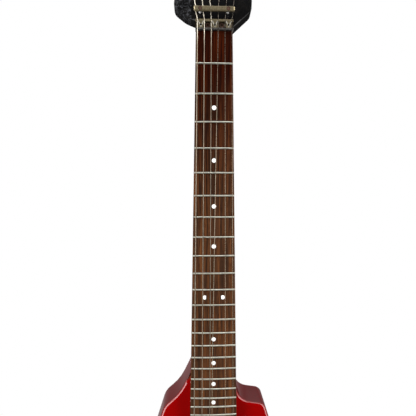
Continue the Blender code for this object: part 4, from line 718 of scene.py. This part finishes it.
CHROME_DULL = (0.28, 0.26, 0.22)


def on_head(across, along, out):
    """A point of the tilted headstock: across, up its face from the nut, out from the face."""
    return on_front(
        across,
        HEAD_START - along * math.cos(HEAD_TILT) - out * math.sin(HEAD_TILT),
        HEAD_FACE - along * math.sin(HEAD_TILT) + out * math.cos(HEAD_TILT),
    )


HEAD_OUT = (on_head(0, 0, 1) - on_head(0, 0, 0)).normalized()


def tuner_spot(string):
    """Where a string's post stands on the head, and on which side."""
    side = -1 if string < 3 else 1
    along = TUNER_ROWS[string if string < 3 else 5 - string]
    (low_half, low), (high_half, high) = HEAD_EDGE
    edge = low_half + (high_half - low_half) * (along - low) / (high - low)
    return side * (edge - TUNER_INSET), along, side


def eased(profile, radius, steps=4):
    """A profile with its corners rounded over."""
    made = [profile[0]]
    for before, here, after in zip(profile, profile[1:], profile[2:]):
        corner = Vector(here)
        back, ahead = Vector(before) - corner, Vector(after) - corner
        reach = min(radius, back.length / 2.2, ahead.length / 2.2)
        start, end = corner + back.normalized() * reach, corner + ahead.normalized() * reach
        for k in range(steps + 1):
            t = k / steps
            made.append(tuple(start * (1 - t) ** 2 + corner * 2 * t * (1 - t) + end * t**2))
    made.append(profile[-1])
    return made


def turned(name, foot, axis, profile, finish, sides=32, flat=1.0, ribs=()):
    """A piece turned about an axis by (radius, height) pairs, with ribs cut where asked."""
    turn = Vector((0, 0, 1)).rotation_difference(Vector(axis))
    rings = []
    for radius, height in profile:
        ring = []
        for k in range(sides):
            angle = 2 * math.pi * k / sides
            reach = radius
            for low, high, cut in ribs:
                if low <= height <= high and k % 2:
                    reach = radius - cut
            x, y = reach * math.cos(angle), reach * flat * math.sin(angle)
            ring.append(foot + turn @ Vector((x, y, height)))
        rings.append(ring)
    return skin(name, rings, finish)


chrome = Finish("chrome_plate", Metallic=1.0)
clouds = chrome.noise(240, 4, 0.65)
specks = chrome.noise(2600, 2, 0.6)
hairlines = chrome.noise(900, 2, 0.5, stretch=(1, 1, 0.05))
dulled = chrome.range(clouds, 0.42, 0.72) + 0.4 * (specks > 0.7)
chrome.shade(
    Base_Color=chrome.mix(dulled, CHROME_BRIGHT, CHROME_DULL),
    Roughness=0.16 + 0.22 * clouds + 0.2 * (specks > 0.7),
    Normal=chrome.bump(hairlines, 0.08, 0.02 * MM),
)
rear = -HEAD_THICK - 0.3 * MM
post_profile = (
    (POST, rear - POST_TAIL), (POST, DRUM_LOW - 0.6 * MM), (DRUM, DRUM_LOW),
    (DRUM, DRUM_HIGH), (POST, DRUM_HIGH + 0.6 * MM), (POST, POST_TOP - 0.7 * MM),
    (DRUM, POST_TOP), (DRUM * 0.4, POST_TOP), (DRUM * 0.36, POST_TOP - 0.4 * MM),
)
post_profile = eased(post_profile, 0.3 * MM)
reach = BUTTON_START + BUTTON_LONG
button_profile = (
    (WORM_SHAFT, -4.2 * MM), (WORM_SHAFT, BUTTON_START), (BUTTON_WIDE * 0.78, BUTTON_START + 1.2 * MM),
    (BUTTON_WIDE * 0.99, BUTTON_START + BUTTON_LONG * 0.4),
    (BUTTON_WIDE * 0.95, BUTTON_START + BUTTON_LONG * 0.7),
    (BUTTON_WIDE * 0.8, reach - 1.5 * MM), (BUTTON_WIDE * 0.5, reach - 0.1 * MM), (0.4 * MM, reach),
)
button_profile = eased(button_profile, 2.4 * MM)
for string in range(6):
    across, along, side = tuner_spot(string)
    node = f"tuner_housing_{string + 1}"
    dressed(f"{node}_case", node, chrome, "guitar", "chrome", rim=0.35 * MM, sharp=28)
    node = f"tuner_post_{string + 1}"
    post = turned(f"{node}_shaft", on_head(across, along, 0), HEAD_OUT, post_profile, chrome)
    settle(post, node, "chrome", node)
    foot = on_head(across, along + WORM_ABOVE, rear - HOUSING_DEEP / 2)
    node = f"tuner_button_{string + 1}"
    button = turned(f"{node}_key", foot, (side, 0, 0), button_profile, chrome, 36, BUTTON_FLAT)
    settle(button, node, "chrome", node)


# The strings
# Six strings of plated steel wire: three thick ones wound, three plain. Each runs from its
# saddle over the nut, under the bar and round its post. The fourth has gone slack.
GAUGES = (1.17 * MM, 0.91 * MM, 0.66 * MM, 0.43 * MM, 0.33 * MM, 0.25 * MM)
WOUND = 3
SPAN_NUT = 39.6 * MM
SPAN_BRIDGE = 52.5 * MM
SPAN_SHIFT = 0.4 * MM
RISE_NUT = 1.94 * MM
RISE_BRIDGE = 5.04 * MM
SADDLE_TAILS = (3.2 * MM, 2.2 * MM, 1.4 * MM, 2.2 * MM, 1.4 * MM, 0.6 * MM)
SLACK = 3
SLACK_ROUTE = ((520, -1.4), (400, -1.6), (325, -0.5), (180, 1.6), (60, 3.6))
TURNS = (2, 2, 2, 2.5, 2.5, 2.5)
TURN_STEPS = 24
BAR_LOW = -3.6 * MM
BAR_SPAN = (-22.2 * MM, -27.6 * MM)
STRING_STEP = 12 * MM
WINDING = 0.26 * MM
WIRE_BRIGHT = (0.74, 0.69, 0.58)
WIRE_DULL = (0.4, 0.34, 0.26)
WIRE_PLAYED = (0.36, 0.30, 0.21)
WIRE_WORN = (0.12, 0.09, 0.065)


def string_across(string, down):
    share = min(max(down / STRING_LENGTH, 0), 1)
    return (SPAN_NUT + (SPAN_BRIDGE - SPAN_NUT) * share) * (string / 5 - 0.5) + SPAN_SHIFT * (1 - share)


def string_rise(string, down):
    """Height of a string's middle line over the board's edge line."""
    share = min(max(down / STRING_LENGTH, 0), 1)
    across = string_across(string, down)
    camber = math.sqrt(BOARD_CAMBER**2 - across**2) - math.sqrt(BOARD_CAMBER**2 - board_half(0) ** 2)
    return RISE_NUT + (RISE_BRIDGE - RISE_NUT) * share + camber + GAUGES[string] / 2


def through(points, steps):
    """Points on a smooth curve through the given ones."""
    ends = [points[0] * 2 - points[1], *points, points[-1] * 2 - points[-2]]
    made = []
    for a, b, c, d in zip(ends, ends[1:], ends[2:], ends[3:]):
        for k in range(steps):
            t = k / steps
            square, cube = 2 * a - 5 * b + 4 * c - d, 3 * b - a - 3 * c + d
            made.append((2 * b + (c - a) * t + square * t**2 + cube * t**3) / 2)
    return [*made, points[-1]]


def wire_tube(name, points, radius, finish, sides=10):
    """A round wire along points. Each vertex keeps its distance along the wire."""
    side = (points[1] - points[0]).orthogonal().normalized()
    rings, along, run = [], [], 0.0
    for k, point in enumerate(points):
        ahead = (points[min(k + 1, len(points) - 1)] - points[max(k - 1, 0)]).normalized()
        side = (side - ahead * side.dot(ahead)).normalized()
        other = ahead.cross(side)
        turns = [2 * math.pi * n / sides for n in range(sides)]
        rings.append([point + (side * math.cos(t) + other * math.sin(t)) * radius for t in turns])
        run += (point - points[k - 1]).length if k else 0
        along += [run] * sides
    made = skin(name, rings, finish, sharp=60)
    made.data.attributes.new("along", "FLOAT", "POINT").data.foreach_set("value", along)
    return made


def string_wire_finish(name, wound):
    wire = Finish(name, Metallic=1.0)
    along = wire.node("ShaderNodeAttribute", {"attribute_name": "along"}, out="Fac")
    grime = wire.range(wire.noise(90, 4, 0.7), 0.4, 0.75)
    color = wire.mix(grime, WIRE_BRIGHT, WIRE_DULL)
    color = wire.mix(wire.range(wire.axis("Z"), 0, PLAYED_FROM, 0, 0.85), color, WIRE_PLAYED)
    if wound:
        color = wire.mix(wire.range(wire.axis("Z"), 0, PLAYED_FROM, 0, 0.7), color, WIRE_WORN)
        ridge = wire.node("ShaderNodeMath", {"operation": "SINE"}, {0: along * (2 * math.pi / WINDING)})
        wire.shade(
            Base_Color=wire.mix(0.5 * wire.range(ridge, -0.4, -1), color, WIRE_DULL),
            Roughness=0.3 + 0.2 * grime,
            Normal=wire.bump(ridge, 0.8, 0.05 * MM),
        )
    else:
        looks = {"W": along, "Scale": 700, "Detail": 3}
        fleck = wire.node("ShaderNodeTexNoise", {"noise_dimensions": "1D"}, looks)
        rusted = wire.range(fleck, 0.55, 0.75) + wire.range(wire.axis("Z"), -0.14, -0.02, 0, 0.7)
        wire.shade(Base_Color=wire.mix(rusted, color, RUST_DARK), Roughness=0.3 + 0.3 * fleck)
    return wire


wound_wire = string_wire_finish("wound_wire", True)
plain_wire = string_wire_finish("plain_wire", False)
for string in range(6):
    radius = GAUGES[string] / 2
    bridge = STRING_LENGTH + SADDLE_TAILS[string]
    bridge_x, nut_x = string_across(string, STRING_LENGTH), string_across(string, 0)
    bridge_rise, nut_rise = string_rise(string, STRING_LENGTH), string_rise(string, 0)
    tail = on_front(bridge_x, bridge + 2.6 * MM, bridge_rise - 0.52 * MM)
    route = [tail, on_front(bridge_x, bridge, bridge_rise)]
    if string == SLACK:
        route += [on_front(x * MM, u * MM, string_rise(string, u * MM)) for u, x in SLACK_ROUTE]
        route = through([*route, on_front(nut_x, 0, nut_rise)], 6)
    else:
        route += [on_front(nut_x, 0, nut_rise)]
    route.append(on_front(nut_x, -NUT_DEEP - 0.5 * MM, nut_rise - 0.9 * MM))
    under = BAR_LOW - radius - SEAT
    route += [on_front(nut_x * 1.09, BAR_SPAN[0], under), on_front(nut_x * 1.1009, BAR_SPAN[1], under)]
    across, along, side = tuner_spot(string)
    reach = DRUM + radius + 0.2 * MM
    pitch = max(2 * radius + 0.2 * MM, 0.6 * MM)
    for k in range(int(TURN_STEPS * TURNS[string]) + 1):
        angle = math.pi * (1 + 2 * k / TURN_STEPS)
        level = DRUM_HIGH - radius - 0.2 * MM - pitch * k / TURN_STEPS
        x = across + side * reach * math.cos(angle)
        route.append(on_head(x, along - reach * math.sin(angle), level))
    spaced = []
    for start, end in zip(route, route[1:]):
        count = max(1, round((end - start).length / STRING_STEP))
        spaced += [start.lerp(end, k / count) for k in range(count)]
    finish = wound_wire if string < WOUND else plain_wire
    wire = wire_tube(f"string_{string + 1}_wire", [*spaced, route[-1]], radius, finish)
    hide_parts(f"string_{string + 1}")
    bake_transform(wire)


# The pickups
# Two humbuckers, each hung in a moulded ring by a height screw at either end. Wire is wound
# on two bobbins over a magnet; one coil has plain poles, the other adjustable slotted ones.
COILS = (BOARD_END + 25 * MM, 604 * MM)
COIL_SIZE = (69 * MM, 37.5 * MM)
COIL_TOP = 1.4 * MM
POLE_SIDES = 28
POLE_RADIUS = 2.34 * MM
POLE_PROUD = 0.75 * MM
RING_HALF = (45 * MM, 22 * MM)
RING_TOPS = (-5.7 * MM, -3.1 * MM)
RING_INSET = 4 * MM
HEIGHT_SCREW = 38.6 * MM
SMALL_SCREW = 2.54 * MM
SCREW_SUNK = 0.28 * MM
PLASTIC_BLACK = (0.012, 0.012, 0.013)
PLASTIC_GREY = (0.035, 0.034, 0.033)
STEEL_BRIGHT = (0.55, 0.55, 0.55)
STEEL_DARK = (0.26, 0.25, 0.24)

plastic = Finish("black_plastic", Specular_IOR_Level=0.4)
wear = plastic.noise(160, 4, 0.65)
grit = plastic.noise(2400, 2, 0.6)
plastic.shade(
    Base_Color=plastic.mix(plastic.range(wear, 0.45, 0.8), PLASTIC_BLACK, PLASTIC_GREY),
    Roughness=0.3 + 0.25 * wear,
    Normal=plastic.bump(grit, 0.12, 0.03 * MM),
)
steel = Finish("plain_steel", Metallic=1.0)
rolled = steel.noise(700, 4, 0.6, stretch=(1, 1, 0.08))
spots = steel.noise(380, 4, 0.7)
steel.shade(
    Base_Color=steel.mix(steel.range(spots, 0.45, 0.75), STEEL_BRIGHT, STEEL_DARK),
    Roughness=0.26 + 0.2 * rolled + 0.15 * (spots > 0.6),
    Normal=steel.bump(rolled, 0.15, 0.03 * MM),
)
pegs = Maker("pole_pegs", Radius=2.3 * MM, Height=1.5 * MM)
wide, tall = pegs["Radius"], pegs["Height"]
peg = pegs.drum(POLE_SIDES, wide, tall)
crown = pegs.lifted(pegs.cone(POLE_SIDES, wide * 0.86, wide, tall * 0.15), tall * 0.499)
pegs.scatter(pegs.joined(peg, crown), (math.pi / 2, 0, 0))
for label, coil, ring_top in zip(("neck_pickup", "bridge_pickup"), COILS, RING_TOPS):
    dressed(
        f"{label}_frame", f"{label}_ring", plastic, "guitar", "black_plastic",
        rim=0.4 * MM, sharp=30, steps=3,
    )
    dressed(f"{label}_bobbins", label, plastic, "guitar", "black_plastic", rim=0.18 * MM, sharp=30)
    for side, maker, kind in ((-1, pegs, "plain"), (1, slot_screws, "screw")):
        row = coil + side * COIL_SIZE[1] / 4
        spots = [on_front(string_across(n, coil), row, COIL_TOP + 0.05 * MM) for n in range(6)]
        maker.make(
            f"{label}_{kind}_poles", spots, steel, "guitar", "steel",
            Radius=POLE_RADIUS, Height=1.1 * POLE_PROUD,
        )
    half_x, half_y = RING_HALF[0] - RING_INSET, RING_HALF[1] - RING_INSET
    corners = [(x * half_x, y * half_y) for x in (-1, 1) for y in (-1, 1)]
    corners += [(-HEIGHT_SCREW, 0), (HEIGHT_SCREW, 0)]
    spots = [on_front(x, coil + y, ring_top - SCREW_SUNK) for x, y in corners]
    cross_screws.make(
        f"{label}_screws", spots, chrome, "guitar", "chrome", Radius=SMALL_SCREW, Height=1.72 * MM,
    )


# The tremolo
# A hardened plate that rocks on two knife edges against its posts. Each saddle clamps a string
# and is pulled down by a knurled fine tuner, the arm plugs into a collar, and three springs
# pull the block under the body against the strings.
PIVOT = 645 * MM
STUD_APART = 37 * MM
FINE_ROW = 687 * MM
CLAMP_SCREWS = FINE_ROW + 5.6 * MM
GANTRY_TOP = 9.4 * MM
FINE_SHAFT = ((1.1, 0.95), (1.6, 1.9))
FINE_PROFILE = (
    (1.6, 0.3), (3.7, 0.3), (4.1, 0.8), (4.1, 4.2), (3.5, 4.9), (2.4, 5.35), (1.2, 5.3), (0.2, 5.0),
)
STUD_PROFILE = (
    (4.2, -30), (4.2, -7.2), (2.6, -6.8), (2.6, -2), (4.2, -1.6), (4.2, 0.1), (3, 0.5), (0.2, 0.5),
)
TIP_PROFILE = ((2.97, 0), (3, 1), (3, 11), (0.3, 12))
ARM_SPOT = (39.5 * MM, 662 * MM)
ARM_WIDE = 2.95 * MM
ARM_ROUTE = ((0, -4), (0, 5.7), (1.5, 12), (6, 19), (16, 26), (40, 33), (90, 37.3), (140, 38))
SPRING_LEVEL = -43.6 * MM
CLAW = (571 * MM, 573.2 * MM)
CLAW_HALF = 31 * MM
CLAW_DEEP = 7 * MM
BLOCK_FRONT = 652 * MM
COIL_WIDE = 2.62 * MM
COIL_WIRE = 0.55 * MM
COIL_TURNS = 34
COIL_SIDES = 14
SPRING_APART = 16 * MM
CLAW_SCREW = 25 * MM
ROUT_FRONT = 540 * MM
THREAD_CORE = 1.3 * MM
THREAD_ROOT = 1.45 * MM
THREAD_CREST = 1.8 * MM
THREAD_STEPS = 60
OUT = Vector((0, -1, 0))


def millimetres(profile, level=0.0):
    """(radius, height) pairs in metres, their heights from a level."""
    return [(radius * MM, level + height * MM) for radius, height in profile]


def small_block(name, size, rim, steps, centre, finish):
    """A flat block with its edges eased over."""
    bm = bmesh.new()
    bmesh.ops.create_cube(bm, size=1)
    for vertex in bm.verts:
        vertex.co = vertex.co * Vector(size)
    bmesh.ops.bevel(bm, geom=bm.edges, offset=rim, segments=steps, affect="EDGES")
    bmesh.ops.translate(bm, verts=bm.verts, vec=centre)
    mesh = bpy.data.meshes.new(name)
    bm.to_mesh(mesh)
    bm.free()
    return add_piece(name, mesh, finish)


dressed("tremolo_plate", "tremolo_base_plate", chrome, "tremolo", "chrome", rim=0.22 * MM, sharp=30)
dressed(
    "sustain_block_casting", "sustain_block", steel, "tremolo", "steel", rim=0.6 * MM, sharp=30, steps=3,
)
profile = millimetres(FINE_SHAFT) + millimetres(FINE_PROFILE, GANTRY_TOP)
profile = eased(profile, 0.25 * MM, 3)
knurl = [(GANTRY_TOP + 0.7 * MM, GANTRY_TOP + 4.3 * MM, 0.35 * MM)]
for string in range(6):
    node = f"saddle_{string + 1}"
    dressed(f"{node}_block", node, chrome, "tremolo", "chrome", rim=0.25 * MM, sharp=30)
    foot = on_front(string_across(string, STRING_LENGTH), FINE_ROW, 0)
    node = f"fine_tuner_{string + 1}"
    tuner = turned(f"{node}_knob", foot, OUT, profile, chrome, 56, ribs=knurl)
    settle(tuner, node, "chrome", node)
spots = [on_front(string_across(n, STRING_LENGTH), CLAMP_SCREWS, -1.2 * MM) for n in range(6)]
hex_screws.make(
    "saddle_clamp_screws", spots, steel, "tremolo", "steel",
    Radius=1.92 * MM, Height=0.55 * MM, Facing=(0.0, 0.0, -1.0),
)
profile = eased(millimetres(STUD_PROFILE), 0.3 * MM)
for side, label in ((-1, "bass"), (1, "treble")):
    foot = on_front(side * STUD_APART, PIVOT, 0)
    stud = turned(f"tremolo_stud_{label}_post", foot, OUT, profile, chrome)
    settle(stud, "guitar", "chrome", f"tremolo_stud_{label}")
spots = [on_front(side * STUD_APART, PIVOT, 0.28 * MM) for side in (-1, 1)]
hex_screws.make(
    "tremolo_stud_sockets", spots, chrome, "guitar", "chrome", Radius=2.9 * MM, Height=0.7 * MM,
)

route = [on_front(ARM_SPOT[0], ARM_SPOT[1] + down * MM, out * MM) for down, out in ARM_ROUTE]
route = [route[0], *through(route[1:], 8)]
bar = wire_tube("tremolo_arm_rod", route, ARM_WIDE, chrome, sides=24)
settle(bar, "arm", "chrome", "tremolo_arm")
foot = on_front(ARM_SPOT[0], ARM_SPOT[1] + 136 * MM, ARM_ROUTE[-1][1] * MM)
profile = eased(millimetres(TIP_PROFILE), 1.6 * MM, 6)
settle(turned("tremolo_arm_tip", foot, (0, 0, -1), profile, plastic), "arm", "chrome")

size = on_front(2 * CLAW_HALF, CLAW[1] - CLAW[0], CLAW_DEEP)
centre = on_front(0, (CLAW[0] + CLAW[1]) / 2, SPRING_LEVEL)
settle(small_block("claw_plate", size, 0.5 * MM, 3, centre, steel), "guitar", "steel")
for slot in (-1, 0, 1):
    middle = slot * SPRING_APART
    start, end = CLAW[1] - 0.2 * MM, BLOCK_FRONT - 0.2 * MM
    first, last = start + 5 * MM, end - 5 * MM
    coil = [on_front(middle, down, SPRING_LEVEL) for down in (start, start + 4 * MM)]
    for k in range(COIL_TURNS * COIL_SIDES + 1):
        angle, share = 2 * math.pi * k / COIL_SIDES, k / (COIL_TURNS * COIL_SIDES)
        wide = COIL_WIDE * min(1, 8 * share + 0.1, 8 * (1 - share) + 0.1)
        x, out = middle + wide * math.cos(angle), SPRING_LEVEL + wide * math.sin(angle)
        coil.append(on_front(x, first + (last - first) * share, out))
    coil += [on_front(middle, down, SPRING_LEVEL) for down in (end - 4 * MM, end)]
    spring = wire_tube(f"tremolo_spring_{slot + 2}", coil, COIL_WIRE, steel, sides=8)
    if slot == 0:
        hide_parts("springs_and_claw")
    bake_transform(spring)
reach = CLAW[0] - ROUT_FRONT
thread = [(THREAD_CORE, -reach)]
for k in range(THREAD_STEPS + 1):
    level = -reach + 1 * MM + (reach - 2 * MM) * k / THREAD_STEPS
    thread.append((THREAD_CREST if k % 2 else THREAD_ROOT, level))
thread.append((THREAD_ROOT, 0))
for side in (-1, 1):
    foot = on_front(side * CLAW_SCREW, CLAW[1], SPRING_LEVEL)
    settle(turned(f"claw_screw_{side + 2}", foot, (0, 0, -1), thread, steel, 16), "guitar", "steel")
spots = [on_front(side * CLAW_SCREW, CLAW[1] - 0.2 * MM, SPRING_LEVEL) for side in (-1, 1)]
cross_screws.make(
    "claw_screw_heads", spots, steel, "guitar", "steel",
    Radius=3.4 * MM, Height=2.6 * MM, Facing=(0.0, 0.0, -1.0),
)


# The controls
# A volume knob pressed on its pot's shaft, a three-way toggle that picks the pickups and the
# output jack, in a line down the treble wing. Each is clamped through the face by its nut.
FACE = -10 * MM
CONTROLS = ((80 * MM, 716 * MM), (104 * MM, 768 * MM), (128 * MM, 820 * MM))
BUSH_TOP = FACE + 2 * MM
KNOB_WIDE = 9.5 * MM
KNOB_TALL = 16 * MM
KNOB_RIBS = 48
KNOB_BORE = 3 * MM
MARK_SIZE = (1.1 * MM, 0.7 * MM, 4.6 * MM)
MARK_OUT = 5.6 * MM
LEVER_BALL = 3.6 * MM
LEVER_NECK = 1.3 * MM
LEVER_LONG = 19 * MM
LEVER_PROFILE = ((2, -6.4), (3.2, -4), (3.38, -2.4), (2.9, -0.8), (1.6, -0.05), (0.2, 0))
CREAM = (0.62, 0.5, 0.3)
CREAM_AGED = (0.42, 0.3, 0.14)

ivory = Finish("cream_plastic", Specular_IOR_Level=0.4)
stain = ivory.noise(260, 4, 0.7)
ivory.shade(
    Base_Color=ivory.mix(ivory.range(stain, 0.4, 0.75), CREAM, CREAM_AGED),
    Roughness=0.25 + 0.25 * stain,
)
dressed("volume_pot_case", "volume_pot", steel, "guitar", "steel", rim=0.3 * MM, sharp=28)
low = BUSH_TOP + 0.3 * MM - FACE
top = low + KNOB_TALL
profile = (
    (KNOB_BORE, -7.2 * MM), (KNOB_BORE, low), (KNOB_WIDE - 0.5 * MM, low),
    (KNOB_WIDE, low + 0.5 * MM), (KNOB_WIDE, low + KNOB_TALL * 0.34),
    (KNOB_WIDE * 0.86, low + KNOB_TALL * 0.44), (KNOB_WIDE * 0.86, low + KNOB_TALL * 0.48),
    (KNOB_WIDE * 0.81, low + KNOB_TALL * 0.9), (KNOB_WIDE * 0.7, low + KNOB_TALL * 0.995),
    (KNOB_WIDE * 0.55, top), (KNOB_WIDE * 0.5, top - 0.6 * MM), (0.3 * MM, top - 0.8 * MM),
)
profile = eased(profile, 0.5 * MM)
grip = [(low + KNOB_TALL * 0.45, low + KNOB_TALL * 0.92, 0.45 * MM)]
foot = on_front(*CONTROLS[0], FACE)
knob = turned("volume_knob_grip", foot, OUT, profile, plastic, KNOB_RIBS * 2, ribs=grip)
settle(knob, "volume_knob", "black_plastic", "volume_knob")
centre = on_front(CONTROLS[0][0], CONTROLS[0][1] - MARK_OUT, FACE + top - 0.4 * MM)
mark = small_block("volume_knob_mark", MARK_SIZE, 0.2 * MM, 2, centre, ivory)
settle(mark, "volume_knob", "cream_plastic")
dressed("toggle_case", "toggle_switch", steel, "guitar", "steel", rim=0.3 * MM, sharp=28)
pivot = BUSH_TOP - LEVER_BALL
ball = [(math.sin(0.12 * k) * LEVER_BALL, -math.cos(0.12 * k) * LEVER_BALL) for k in range(3, 21)]
profile = [*ball, (LEVER_NECK, LEVER_BALL * 0.95), (LEVER_NECK, LEVER_LONG - 7 * MM)]
profile += millimetres(LEVER_PROFILE, LEVER_LONG)
lever = turned("toggle_tip", on_front(*CONTROLS[1], pivot), OUT, profile, ivory, 28)
settle(lever, "toggle_lever", "cream_plastic", "toggle_lever")
dressed("output_jack_socket", "output_jack", chrome, "guitar", "chrome", rim=0.3 * MM, sharp=28)


# The back and the strap
# Two black plates close the routs for the springs and the wiring, flush in their rebates. The
# strap hangs from two turned buttons, one behind the neck joint and one on the bass wing's end.
BACK = -52 * MM
SPRING_ROUT = (560 * MM, 690 * MM, 38.5 * MM)
COVER_LIP = 3.5 * MM
COVER_SCREW_INSET = 6 * MM
COVER_REACH = 19 * MM
STRAP_SPOT = (-34 * MM, 486 * MM)
STRAP_PROFILE = (
    (1.2, -22), (1.2, 0.3), (5, 0.3), (5, 1.8), (3.2, 3.4), (3.2, 8.4), (7.2, 10.4), (7.2, 11.4),
    (6, 12), (3, 12), (2.4, 10.8), (0.2, 10.8),
)
WING_START = (-63.3 * MM, 462 * MM)
WING_SPREAD = math.tan(math.radians(17.5))
WING_TIP = (-122 * MM, 918 * MM)
WING_CUT = 897 * MM

for plate in ("spring_cavity_cover", "control_cavity_cover"):
    dressed(f"{plate}_plate", plate, plastic, "guitar", "black_plastic", rim=0.3 * MM, sharp=30, steps=2)
screw_half = SPRING_ROUT[2] - COVER_SCREW_INSET
rows = (SPRING_ROUT[0] - COVER_LIP, SPRING_ROUT[1] + COVER_LIP)
spots = [(x * screw_half, row) for x in (-1, 1) for row in rows]
start, end = Vector(CONTROLS[0]), Vector(CONTROLS[2])
along = (end - start).normalized()
across = Vector((-along.y, along.x))
reach = COVER_REACH + COVER_LIP
spots += [tuple(start - along * reach), tuple(end + along * reach)]
spots += [tuple((start + end) / 2 + across * side * reach) for side in (-1, 1)]
places = [on_front(*spot, BACK + SCREW_SUNK) for spot in spots]
cross_screws.make(
    "cover_screws", places, chrome, "guitar", "chrome",
    Radius=SMALL_SCREW, Height=1.7 * MM, Facing=(0.0, 1.0, 0.0),
)
profile = eased(millimetres(STRAP_PROFILE), 0.6 * MM)
outer = Vector((WING_START[0] - WING_SPREAD * (WING_CUT - WING_START[1]), WING_CUT))
inner = Vector(WING_TIP)
edge = (inner - outer).normalized()
ends = (
    ("heel", on_front(*STRAP_SPOT, BACK), Vector((0, 1, 0))),
    ("tip", on_front(*((outer + inner) / 2), (FACE + BACK) / 2), Vector((-edge.y, 0, -edge.x))),
)
for label, foot, axis in ends:
    button = turned(f"strap_button_{label}_turning", foot, axis, profile, chrome, 36)
    settle(button, "guitar", "chrome", f"strap_button_{label}")
